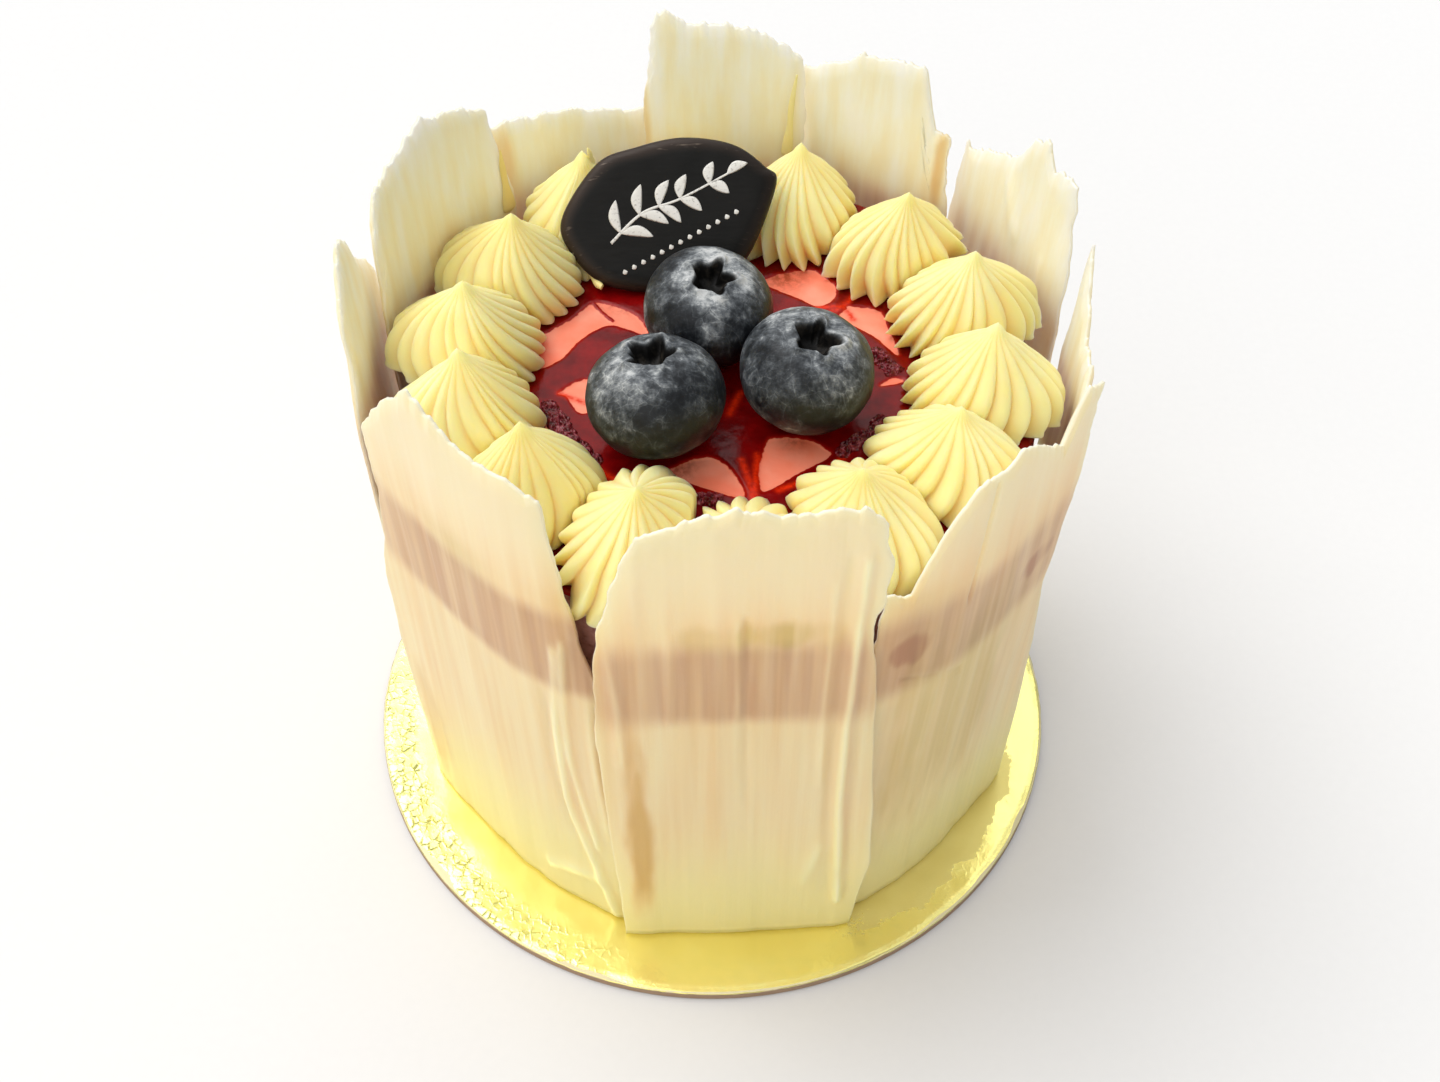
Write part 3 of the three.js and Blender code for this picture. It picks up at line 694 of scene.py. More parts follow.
def value_noise(seed, *places):
    """Smooth noise from -1 to 1: random heights on a whole-number lattice, with
    each cell blended between its corners by 3t^2 - 2t^3."""
    size = 48
    heights = np.random.default_rng(seed).uniform(-1, 1, (size,) * len(places))
    places = np.broadcast_arrays(*places)
    cells = [np.floor(place).astype(int) for place in places]
    shares = [place - cell for place, cell in zip(places, cells)]
    blends = [share * share * (3 - 2 * share) for share in shares]
    total = np.zeros(places[0].shape)
    for corner in itertools.product((0, 1), repeat=len(places)):
        weight = np.ones(places[0].shape)
        for step, blend in zip(corner, blends):
            weight = weight * (blend if step else 1 - blend)
        index = tuple((cell + step) % size for step, cell in zip(corner, cells))
        total += weight * heights[index]
    return total


def fractal(seed, octaves, *places):
    """Noise with finer, weaker noise on it: each octave is twice as fine and half as high."""
    total = 0.0
    for octave in range(octaves):
        finer = [place * 2.0 ** octave for place in places]
        total = total + value_noise(seed + 31 * octave, *finer) / 2 ** octave
    return total


def eased(value, low, high):
    """0 below low, 1 above high and 3t^2 - 2t^3 between them."""
    t = np.clip((value - low) / (high - low), 0, 1)
    return t * t * (3 - 2 * t)


def along(values, share):
    """Reads evenly spaced values at a share from 0 to 1, straight between them."""
    return np.interp(share, np.linspace(0, 1, len(values)), values)


def smooth_line(points, count, is_closed=False):
    """A line through points: each stretch is the cubic whose slope at a point is
    half of the step between that point's two neighbours."""
    points = np.asarray(points, float)
    total = len(points)
    spans = total if is_closed else total - 1
    place = np.linspace(0, spans, count, endpoint=not is_closed)
    first = np.minimum(place.astype(int), spans - 1)
    t = (place - first)[:, None]
    steps = [first + shift for shift in (-1, 0, 1, 2)]
    steps = [s % total if is_closed else np.clip(s, 0, total - 1) for s in steps]
    a, b, c, d = (points[s] for s in steps)
    return 0.5 * (2 * b + (c - a) * t + (2 * a - 5 * b + 4 * c - d) * t**2
                  + (3 * b - a - 3 * c + d) * t**3)


def turned_about_z(points, angle):
    """Points turned counter-clockwise about +Z by an angle in degrees."""
    a = math.radians(angle)
    turn = np.array([[math.cos(a), -math.sin(a), 0], [math.sin(a), math.cos(a), 0], [0, 0, 1]])
    return points @ turn.T


def tilted(points, about_x, about_y):
    """Points turned about +Y, then about +X, by angles in degrees."""
    a, b = math.radians(about_x), math.radians(about_y)
    turn_x = np.array([[1, 0, 0], [0, math.cos(a), -math.sin(a)], [0, math.sin(a), math.cos(a)]])
    turn_y = np.array([[math.cos(b), 0, math.sin(b)], [0, 1, 0], [-math.sin(b), 0, math.cos(b)]])
    return points @ (turn_x @ turn_y).T


# ------------------------------------------------------------------- surfaces
# A surface is (points, quads, triangles, readings), with a reading for each point.


def rings_surface(rings, foot, tip, readings=None):
    """Closed skin over stacked rings: rings[i, j] is ring i, from foot to tip, at
    step j counter-clockwise, and both ends close on a single point."""
    count, steps = rings.shape[:2]
    points = np.concatenate([rings.reshape(-1, 3), [foot], [tip]])
    ring, step = np.meshgrid(np.arange(count - 1), np.arange(steps), indexing="ij")
    here = (ring * steps + step).ravel()
    beside = (ring * steps + (step + 1) % steps).ravel()
    quads = np.stack([here, beside, beside + steps, here + steps], 1)
    around = np.arange(steps)
    after = (around + 1) % steps
    low_pole = np.full(steps, count * steps)
    last = (count - 1) * steps
    bottom = np.stack([low_pole, after, around], 1)
    top = np.stack([last + around, last + after, low_pole + 1], 1)
    made = {}
    for name, values in (readings or {}).items():
        ends = np.stack([values[0].mean(0), values[-1].mean(0)])
        made[name] = np.concatenate([values.reshape(-1, *values.shape[2:]), ends])
    return points, quads, np.concatenate([bottom, top]), made


def slab_surface(outer, inner, readings=None):
    """Closed thin solid between two grids of points, with a strip round its rim.

    outer[i, j] has row i upwards and column j to the right, seen from outside."""
    rows, columns = outer.shape[:2]
    points = np.concatenate([outer.reshape(-1, 3), inner.reshape(-1, 3)])
    index = np.arange(rows * columns).reshape(rows, columns)
    front = np.stack([index[:-1, :-1], index[:-1, 1:], index[1:, 1:], index[1:, :-1]], -1)
    front = front.reshape(-1, 4)
    back = front[:, ::-1] + rows * columns
    edge = np.concatenate([index[0, :-1], index[:-1, -1], index[-1, :0:-1], index[:0:-1, 0]])
    next_edge = np.roll(edge, -1)
    rim = np.stack([next_edge, edge, edge + rows * columns, next_edge + rows * columns], 1)
    made = {}
    for name, values in (readings or {}).items():
        flat = values.reshape(-1, *values.shape[2:])
        made[name] = np.concatenate([flat, flat])
    return points, np.concatenate([front, back, rim]), np.zeros((0, 3), int), made


def full_turn(steps):
    """Evenly spaced angles once round, in radians."""
    return np.linspace(0, 2 * np.pi, steps, endpoint=False)


def tube_surface(path, widths, heights, side, up, steps=10):
    """An oval section carried along a path and closed at both ends; widths lie
    along side and heights along up, one of each for every point of the path."""
    turn = full_turn(steps)
    across = np.cos(turn)[None, :, None] * np.asarray(widths)[:, None, None] * side
    upwards = np.sin(turn)[None, :, None] * np.asarray(heights)[:, None, None] * up
    rings = path[:, None, :] + across + upwards
    way = path[-1] - path[0]
    if np.dot(np.cross(side, up), way) < 0:
        rings = rings[:, ::-1]
    return rings_surface(rings, path[0], path[-1])


def joined(surfaces):
    """Several surfaces as one, without touching their points."""
    points, quads, triangles = [], [], []
    start = 0
    for surface in surfaces:
        points.append(surface[0])
        quads.append(surface[1] + start)
        triangles.append(surface[2] + start)
        start += len(surface[0])
    names = surfaces[0][3].keys()
    made = {name: np.concatenate([s[3][name] for s in surfaces]) for name in names}
    return np.concatenate(points), np.concatenate(quads), np.concatenate(triangles), made


def add_piece(name, surface, material, replaced=(), offset=CAKE_OFFSET):
    """Makes a surface a mesh in metres, with its material and body, and hides the parts it replaces."""
    points, quads, triangles, readings = surface
    mesh = bpy.data.meshes.new(name)
    corners = np.concatenate([quads.ravel(), triangles.ravel()]).astype(np.int32)
    quad_starts = 4 * np.arange(len(quads))
    triangle_starts = 4 * len(quads) + 3 * np.arange(len(triangles))
    starts = np.concatenate([quad_starts, triangle_starts]).astype(np.int32)
    mesh.vertices.add(len(points))
    mesh.vertices.foreach_set("co", ((points + offset) * MM).astype(np.float32).ravel())
    mesh.loops.add(len(corners))
    mesh.loops.foreach_set("vertex_index", corners)
    mesh.polygons.add(len(starts))
    mesh.polygons.foreach_set("loop_start", starts)
    mesh.polygons.foreach_set("use_smooth", np.ones(len(starts), bool))
    for reading_name, values in readings.items():
        kind = "FLOAT" if values.ndim == 1 else "FLOAT_VECTOR"
        attribute = mesh.attributes.new(reading_name, kind, "POINT")
        key = "value" if values.ndim == 1 else "vector"
        attribute.data.foreach_set(key, values.astype(np.float32).ravel())
    mesh.update(calc_edges=True)
    mesh.validate()
    mesh.materials.append(material)
    piece = bpy.data.objects.new(name, mesh)
    bpy.context.scene.collection.objects.link(piece)
    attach(piece, "root")
    if replaced:
        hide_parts(*replaced)
    return piece


# ---------------------------------------------------------- card and cake body


def ring_at(radius, turn, height):
    """Points round +Z at each turn; the radius and the height may change with it."""
    return np.stack(np.broadcast_arrays(radius * np.cos(turn), radius * np.sin(turn), height), -1)


def section_rings(section, steps):
    """Round rings about +Z from (radius, height) pairs."""
    turn = full_turn(steps)
    radius, height = np.array(section, float).T[:, :, None]
    return ring_at(radius, turn, height), turn


FOIL_THICKNESS = 0.25


def make_board():
    """The card's core: a disc with softly crushed edges."""
    top = CARD_TOP - FOIL_THICKNESS
    edge = [(0.35 * math.sin(a), 0.35 * (1 - math.cos(a))) for a in np.linspace(0, np.pi / 2, 5)]
    section = [(20, 0)]
    section += [(CARD_RADIUS - 0.35 + x, z) for x, z in edge]
    section += [(CARD_RADIUS, z) for z in np.linspace(0.5, top - 0.3, 6)]
    section += [(CARD_RADIUS - 0.1, top), (20, top)]
    rings, turn = section_rings(section, 360)
    nibble = value_noise(11, turn * 40, rings[..., 2] * 2) * 0.12
    nibble = nibble * (rings[..., 2] > 0.3) * (rings[..., 0] ** 2 + rings[..., 1] ** 2 > 900)
    rings[..., :2] *= 1 - np.abs(nibble)[..., None] / CARD_RADIUS
    surface = rings_surface(rings, (0, 0, 0), (0, 0, top))
    add_piece("card_board", surface, MATERIALS["board"], ["cake_card"], 0)


def make_foil():
    """The gold face: a thin disc that swells and crinkles by noise, more towards
    the rim, and turns down a little over the card's edge."""
    steps = 480
    radii = np.concatenate([np.linspace(2, 40, 12), np.linspace(41, CARD_RADIUS - 0.5, 66)])
    turn = full_turn(steps)
    radius = radii[:, None] * np.ones(steps)
    x, y = radius * np.cos(turn), radius * np.sin(turn)
    outward = eased(radius, 44, 57)
    swell = 0.12 * value_noise(21, x / 9, y / 9) * outward
    left = eased(np.cos(turn - math.radians(212)), 0.7, 0.95)
    crackle = eased(radius, 53, 55) * (0.12 + 0.88 * left)
    crinkle = 0.07 * np.abs(fractal(22, 2, x / 1.6, y / 1.6)) * crackle
    beside_cake = 1 - eased(radius + 1.2 * value_noise(24, x / 3, y / 3), 54.5, 57)
    worn = beside_cake * eased(np.cos(turn - math.radians(-38)), 0.84, 0.97)
    fall = 0.12 * eased(radius, CARD_RADIUS - 1.6, CARD_RADIUS - 0.5)
    z = CARD_TOP - 0.1 + swell - crinkle - fall
    top = np.stack([x, y, np.minimum(z, CARD_TOP + 0.05)], -1)
    lip_radius = CARD_RADIUS - 0.12 * np.abs(value_noise(23, turn * 30))
    lip = [ring_at(lip_radius, turn, CARD_TOP - depth) for depth in (0.55, 0.32)]
    under = ring_at(CARD_RADIUS - 0.6, turn, CARD_TOP - 0.6)
    rings = np.concatenate([[under], lip, top[::-1]])
    readings = {name: np.concatenate([np.zeros((3, steps)), values[::-1]])
                for name, values in (("crackle", crackle), ("worn", worn))}
    foot = (0, 0, CARD_TOP - 0.6)
    surface = rings_surface(rings, foot, (0, 0, CARD_TOP - 0.1), readings)
    add_piece("gold_foil_face", surface, MATERIALS["foil"], (), 0)


def drum_surface(foot, top, edge_in, heights, seed, place, wave_height, depth, least):
    """A drum of the cake's radius whose side is drawn inwards by depth x (noise +
    least). The noise is read on a circle round place, so that it meets itself, and
    once up the side for each wave_height."""
    section = [(10, foot), (CAKE_RADIUS - edge_in[0], foot)]
    section += [(CAKE_RADIUS, z) for z in heights]
    section += [(CAKE_RADIUS - edge_in[1], top), (10, top)]
    rings, turn = section_rings(section, 300)
    around = place + 8 * np.cos(turn)[None], place + 8 * np.sin(turn)[None]
    wave = fractal(seed, 3, *around, rings[..., 2] / wave_height)
    is_side = np.hypot(rings[..., 0], rings[..., 1]) > 40
    rings[..., :2] *= (1 - depth * (wave + least) * is_side / CAKE_RADIUS)[..., None]
    return rings_surface(rings, (0, 0, foot), (0, 0, top))


def make_body():
    """The cream-coated cake: its side keeps the knife's long, low waves."""
    heights = np.linspace(BODY_FOOT + 0.6, BODY_TOP - 0.8, 70)
    surface = drum_surface(BODY_FOOT, BODY_TOP, (0.6, 0.8), heights, 31, 9.6, 5, 0.35, 1.2)
    add_piece("cream_coated_body", surface, MATERIALS["coating"], ["cake_body"])


def make_mousse():
    """The mousse layer's drum, up to just under its glazed top."""
    top = MOUSSE_TOP - GLAZE_THICKNESS
    heights = np.linspace(MOUSSE_FOOT + 0.5, top - 0.6, 24)
    surface = drum_surface(MOUSSE_FOOT, top, (0.5, 0.5), heights, 41, 9, 2, 0.18, 1)
    add_piece("mousse_layer", surface, MATERIALS["mousse"], ["berry_mousse"])


# ------------------------------------------------------------ feathered glaze

GLAZE_THICKNESS = 0.8
# Outlines of the coral petals, the dark streaks pulled through them, and darker
# brown spots on the coral as (x, y, radius, strength), from the cake's axis.
CORAL_PETALS = [
    [(-11.6, 9.0), (-14.9, 10.5), (-18, 11.2), (-21.8, 8.1), (-24.7, 3.7), (-28.3, 1.9),
     (-29.3, 7.3), (-26.4, 10.2), (-23.5, 12.6), (-20.3, 16.3), (-16.4, 15.3), (-13.3, 13.2)],
    [(-24.5, -3.4), (-20.6, -0.6), (-16.6, -4), (-20.8, -7.8), (-23.4, -4.2)],
    [(-26.7, -8), (-25, -9.8), (-24.6, -12.3), (-26, -10.8)],
    [(-8.8, -20), (-5.3, -17.4), (-2.8, -16.7), (-0.8, -17.2), (1.6, -20.2), (2.9, -24.3),
     (-0.8, -23.5), (-6.9, -20.8)],
    [(6.1, -14), (7.3, -12.7), (11.8, -12.9), (14.8, -14.9), (15.1, -16.5), (10.5, -19.8),
     (5.9, -23.2), (5.1, -21.4), (5, -18.9)],
    [(6.1, 21.5), (8.5, 19.5), (12.1, 17.4), (14.6, 15.9), (17, 17.4), (17.5, 20.4),
     (15.1, 23.6), (13.4, 24.4), (8.8, 23.4)],
    [(19, 15.4), (19.5, 15.9), (24.1, 14.8), (25.4, 10.2), (26.5, 5.8), (26, 5), (23.1, 8.9),
     (19.5, 11.9), (17.8, 13.5)],
    [(23.3, -1.9), (27, -0.9), (25.4, -0.2)],
]
CORAL_CRACK = [(-20.3, 16.3), (-18.8, 14.1), (-17.2, 12.3)]
CORAL_BROWN_SPOTS = [
    (-15.3, 17.5, 3.2, 0.9), (-6.4, -18.7, 2.4, 0.8), (9.5, 22.9, 3, 0.9), (10.2, -12.9, 2, 0.5),
    (24.2, -4.8, 1.8, 0.8),
]
BRIGHT_STREAKS = [
    [(2.5, -17.2), (3.5, -21.1), (4.1, -25)],
    [(4.8, -16.2), (4.5, -21.1), (4.2, -25)],
    [(13.7, 12.6), (18.1, 15.6), (20.5, 18.5)],
    [(14.6, 15.6), (18.6, 15.4), (20, 13.1)],
    [(-24.4, -3.5), (-22.5, -4.5), (-20.5, -5.4)],
    [(0.8, -8), (1.6, -5.8), (2.4, -3.5)],
    [(-19.6, -18.2), (-12.7, -23), (-5.9, -25)],
    [(7.8, -23), (13.7, -20.1), (17.6, -16.2)],
]


def angle_between(first, second):
    """The turn from one azimuth to another, from -180 to 180 degrees."""
    return (first - second + 180) % 360 - 180


def inside_margin(x, y, outline):
    """How far inside a closed outline points are, and negative outside: the
    distance to its nearest stretch. A point is inside where a ray towards +X
    crosses the outline an odd number of times."""
    start = smooth_line(outline, 56, True)
    step = np.roll(start, -1, axis=0) - start
    away_x, away_y = x[..., None] - start[:, 0], y[..., None] - start[:, 1]
    share = np.clip((away_x * step[:, 0] + away_y * step[:, 1]) / (step**2).sum(1), 0, 1)
    near = np.hypot(away_x - share * step[:, 0], away_y - share * step[:, 1]).min(-1)
    is_level = (away_y < 0) != (away_y < step[:, 1])
    rise = np.where(step[:, 1] == 0, 1e-9, step[:, 1])
    is_crossed = is_level & (away_x < away_y * step[:, 0] / rise)
    return np.where(is_crossed.sum(-1) % 2 == 1, near, -near)


def distance_to_line(x, y, line, y_share=1.0):
    """Distance from points to a smooth line, with y differences counted by a share."""
    path = smooth_line(line, 20) * (1, y_share)
    nearest = np.full(x.shape, np.inf)
    for start, step in zip(path, np.diff(path, axis=0)):
        away_x, away_y = x - start[0], y * y_share - start[1]
        share = np.clip((away_x * step[0] + away_y * step[1]) / (step @ step), 0, 1)
        nearest = np.minimum(nearest, np.hypot(away_x - share * step[0], away_y - share * step[1]))
    return nearest


def make_glaze():
    """The glazed top: a disc that is 0.3 mm lower where the coral shows."""
    steps = 560
    radii = np.concatenate([np.linspace(1.5, 31, 120), np.linspace(31.6, CAKE_RADIUS - 0.9, 14)])
    turn = full_turn(steps)
    x, y = radii[:, None] * np.cos(turn), radii[:, None] * np.sin(turn)
    margin = np.max([inside_margin(x, y, outline) for outline in CORAL_PETALS], axis=0)
    margin = np.minimum(margin, distance_to_line(x, y, CORAL_CRACK) - 0.3)
    streaks = [np.exp(-((distance_to_line(x, y, line) / 0.55) ** 2)) for line in BRIGHT_STREAKS]
    brown_spot = [s * np.exp(-((np.hypot(x - cx, y - cy) / r) ** 2)) for cx, cy, r, s in CORAL_BROWN_SPOTS]
    pool = 0.12 * value_noise(53, x / 7, y / 7)
    z = MOUSSE_TOP - 0.05 - 0.3 * eased(margin, -0.5, 0.4) + pool
    edge = [(CAKE_RADIUS - 0.5, 0.3), (CAKE_RADIUS - 0.1, 0.75), (CAKE_RADIUS - 0.6, 0.85)]
    sides = [ring_at(radius, turn, MOUSSE_TOP - depth) for radius, depth in edge[::-1]]
    rings = np.concatenate([sides, np.stack([x, y, z], -1)[::-1]])
    readings = {"coral_margin": margin, "streak": np.max(streaks, 0), "brown_spot": np.max(brown_spot, 0)}
    readings = {name: np.concatenate([np.full((3, steps), -3.0 * (name == "coral_margin")), values[::-1]])
                for name, values in readings.items()}
    surface = rings_surface(rings, (0, 0, MOUSSE_TOP - 0.85), (0, 0, MOUSSE_TOP), readings)
    add_piece("feathered_glaze", surface, MATERIALS["glaze"])


# Ribbons of cooked fruit, as (line from the cake's axis, half width).
JAM_LINES = [
    ([(-26.4, -5), (-24.9, -8.9), (-22.5, -13.3), (-19.6, -16.7), (-17.5, -18.2)], 1.6),
    ([(16.1, -16.4), (19, -14), (22, -11.1), (23.4, -7.9)], 1.3),
    ([(21.9, 5.8), (24, 3.3), (26, 0.3)], 1.5),
    ([(-5.9, -25.8), (-2.9, -24.8), (0, -25.5)], 1.2),
]


def jam_surface(line, half_width, seed):
    """A ribbon of pulp: a low dome with ragged sides, raised by lumps of noise
    about 1 mm apart."""
    path = smooth_line(line, 190)
    step = np.gradient(path, axis=0)
    side = np.stack([step[:, 1], -step[:, 0]], -1) / np.hypot(*step.T)[:, None]
    u, v = np.linspace(-1, 1, 56)[None], np.linspace(0, 1, 190)[:, None]
    ends = np.clip(np.minimum(v, 1 - v) / 0.12, 0, 1) ** 0.5
    ragged = 1 + 0.3 * fractal(seed, 4, v * 9 + 3 * np.sign(u), 0 * v + 5)
    place = path[:, None] + (u * half_width * ends * ragged)[..., None] * side[:, None]
    x, y = place[..., 0], place[..., 1]
    lumps = 1 - np.abs(fractal(seed + 1, 3, x / 0.85, y / 0.85))
    top = MOUSSE_TOP - 0.35 + ends * np.sqrt(1 - 0.98 * u**2) * (0.45 + 0.8 * np.clip(lumps, 0, 1))
    low = np.full(top.shape, MOUSSE_TOP - 0.5)
    return slab_surface(np.dstack([x, y, top]), np.dstack([x, y, low]))


def make_jam():
    ribbons = [jam_surface(*row, 61 + 7 * index) for index, row in enumerate(JAM_LINES)]
    add_piece("cooked_fruit_lumps", joined(ribbons), MATERIALS["jam"])


# --------------------------------------------------------------- cream kisses


def reach_beside(turn, half_sector):
    """Furthest reach along a turn before a neighbour's flank, or no limit."""
    slope = np.sin(turn - half_sector)
    flank = KISS_RING_RADIUS * math.sin(half_sector) - GAP / 2
    return np.where(slope > 1e-6, flank / np.maximum(slope, 1e-6), np.inf)


def soft_limit(length, limit, softness=SQUASH_SOFTNESS):
    """Length, held softly under a limit as cream squashes: limit - s ln(1 + e^(-x/s))."""
    excess = (length - limit) / softness
    held = limit - softness * np.log1p(np.exp(-np.clip(excess, -30, 30)))
    return np.where(excess < -8, length, held)


def reach_in_sheets(way, azimuth):
    """Furthest reach of cream along a turn, from a kiss's middle to the sheets."""
    outward = KISS_RING_RADIUS + 10 * np.cos(way)
    direction = azimuth + np.degrees(np.arctan2(10 * np.sin(way), outward))
    furthest = np.interp(angle_between(direction, 0), *zip(*CREAM_REACH))
    sideways = KISS_RING_RADIUS * np.sin(way)
    return np.sqrt(furthest**2 - sideways**2) - KISS_RING_RADIUS * np.cos(way)


def ridge_profile(turn, share, pointed, seed):
    """1 on a ridge and 0 in a valley: round lobes that lean sideways, with narrow
    valleys between them, blended near the foot into pointed teeth."""
    wander = 0.4 * value_noise(seed, 9 + 2.6 * np.cos(turn), 9 + 2.6 * np.sin(turn))
    saw = ((turn * KISS_RIDGES / (2 * np.pi) + wander) % 1) ** 1.25
    away = np.abs(2 * saw - 1)
    lobe = np.sqrt(1 - 0.96 * away**2)
    tooth = (1 - away) ** 1.3
    return lobe + (tooth - lobe) * pointed * (1 - 0.75 * eased(share, 0.05, 0.5))


def half_turn(start, end):
    return math.radians(((end - start + 360) % 360) / 2)


def smoothed_side(turn, share, azimuth):
    """Ridge strength: the flank towards the back left was wiped smooth half way up."""
    flank = np.exp(-((angle_between(azimuth + np.degrees(turn), 150) / 55) ** 2))
    return 1 - 0.6 * flank * eased(share, 0.25, 0.5) * (1 - eased(share, 0.8, 0.95))


def kiss_surface(index):
    """A ridged drop: the section's radius, times 1 plus or minus the ridge depth,
    twisted and leaned by a power of the height's share, then squashed between its
    neighbours and the sheets."""
    azimuth, lean_out, lean_side, twist, wide_out, wide_in, height_share, pointed = KISSES[index]
    half_ahead = half_turn(azimuth, KISSES[(index + 1) % len(KISSES)][0])
    half_behind = half_turn(KISSES[index - 1][0], azimuth)
    section = smooth_line(KISS_SECTION, 68)[1:-1]
    turn = full_turn(KISS_RIDGES * 12)[None]
    radius, share = section[:, :1], np.clip(section[:, 1:], 0, 1)
    profile = ridge_profile(turn, share, pointed, 60 + index)
    vary = 1 + 0.3 * value_noise(70 + index, 6 + 5 * np.cos(turn), 6 + 5 * np.sin(turn))
    foot_teeth = 1 + 0.5 * pointed * (1 - eased(share, 0, 0.3))
    depth = RIDGE_DEPTH * foot_teeth * (1 - share**4) * vary * smoothed_side(turn, share, azimuth)
    swell = 1 + 0.04 * value_noise(90 + index, 3 + 2 * np.cos(turn), 3 + 2 * np.sin(turn), share * 3)
    fluted = radius * (1 + depth * (2 * profile - 1)) * swell
    bow = 0.16 * np.sin(np.pi * share) * (1 if twist > 0 else -1)
    angle = turn + bow + math.radians(twist) * share * (0.7 + 0.8 * share)
    outward = fluted * np.cos(angle)
    x = outward * np.where(outward > 0, wide_out, wide_in) + lean_out * share**LEAN_GROWTH
    y = fluted * np.sin(angle) + lean_side * share**LEAN_GROWTH
    way = np.arctan2(y, x)
    limit = np.minimum(reach_beside(way, half_ahead), reach_beside(-way, half_behind))
    reach = soft_limit(np.hypot(x, y), np.minimum(limit, reach_in_sheets(way, azimuth)))
    foot = MOUSSE_TOP + GAP
    out = np.hypot(KISS_RING_RADIUS + reach * np.cos(way), reach * np.sin(way))
    hung = eased(out, CAKE_RADIUS - 0.6, CAKE_RADIUS + 1.2) * (1 - eased(share, 0.2, 0.55))
    height = foot + share * height_share * KISS_HEIGHT - KISS_DROOP.get(index, 0) * hung
    rings = ring_at(reach, way, height)
    # Painted shade for the cream's colour: strongest in the valleys, less up the kiss, and more near the
    # foot.
    valley = (1 - profile) * (1 - 0.55 * share) + 0.25 * (1 - eased(share, 0, 0.3))
    tip = (lean_out, lean_side, foot + height_share * KISS_HEIGHT)
    surface = rings_surface(rings, (0, 0, foot), tip, {"valley": valley})
    placed = turned_about_z(surface[0] + np.array([KISS_RING_RADIUS, 0, 0]), azimuth)
    return (placed, *surface[1:])


KISSES_BEHIND_PLAQUE = [0, 12, 13]
PRESS_SOFTNESS = 0.5  # mm, of the cream's dent behind the plaque
PRESS_FADE = (1.04, 1.22)  # of the plaque's oval, where the dent ends


def pressed_behind_plaque(surface):
    """Pushes cream that would pass through the plaque level with its back."""
    points = surface[0]
    depth = lie_plaque(points)[:, 2]
    excess = depth - soft_limit(depth, -PLAQUE_THICKNESS / 2 - 0.05, PRESS_SOFTNESS)
    push = np.array([0, 1 / math.cos(math.radians(PLAQUE_LEAN)), 0])
    pushed = points + excess[:, None] * push
    flat = lie_plaque(pushed)
    out = np.hypot(flat[:, 0] / PLAQUE_OUTLINE[0][0], flat[:, 1] / PLAQUE_OUTLINE[4][1])
    covered = 1 - eased(out, *PRESS_FADE)
    return (points + (pushed - points) * covered[:, None], *surface[1:])


def make_kisses():
    for index in range(len(KISSES)):
        number = f"{index + 1:02d}"
        surface = kiss_surface(index)
        if index in KISSES_BEHIND_PLAQUE:
            surface = pressed_behind_plaque(surface)
        add_piece(f"piped_kiss_{number}", surface, MATERIALS["cream"],
                  [f"cream_kiss_{number}"])


# Drawn-out ends and smears of cream, as (line, half width at its start and end,
# half thickness as a share of that, azimuth of the flat side, shade).
CREAM_TAILS = [
    ([(-22.4, 24.1, 84), (-21.1, 21.7, 84.3), (-19.9, 19.6, 83.8), (-19.0, 18.1, 84)],
     0.95, 0.55, 0.9, 150, 0.4),
    ([(-21.0, 33.9, 95.8), (-20.9, 33.6, 97.4), (-21.2, 33.4, 99)], 0.8, 0.15, 0.9, 150, 0.1),
    ([(-34.8, 36.8, 84), (-35.0, 36.9, 88), (-35.3, 37.0, 92.5), (-35.4, 36.9, 96)],
     1.3, 0.15, 0.3, -43, 0.5),
    ([(10.3, 49.6, 85.5), (10.7, 49.8, 90.5), (10.9, 50.0, 95.2), (11.6, 50.3, 100.8)],
     0.9, 0.2, 0.5, -90, 0.1),
]


def make_tails():
    """Tails of cream: an oval section along a line, drawn out to its end."""
    tails = []
    for line, start, end, flatness, facing, shade in CREAM_TAILS:
        path = smooth_line(line, 30)
        share = np.linspace(0, 1, 30)
        width = (start + (end - start) * share) * (1 + 0.16 * np.sin(11 * share))
        width[:2] *= (0.5, 0.85)
        a = math.radians(facing)
        side, up = np.array([-math.sin(a), math.cos(a), 0]), np.array([math.cos(a), math.sin(a), 0])
        if np.ptp(path[:, 2]) < 2:
            up = np.array([0, 0, 1.0])
        surface = tube_surface(path, width, width * flatness, side, up, 14)
        surface[3]["valley"] = np.full(len(surface[0]), shade)
        tails.append(surface)
    add_piece("cream_tails", joined(tails), MATERIALS["thin_cream"])


# ---------------------------------------------------------------- blueberries


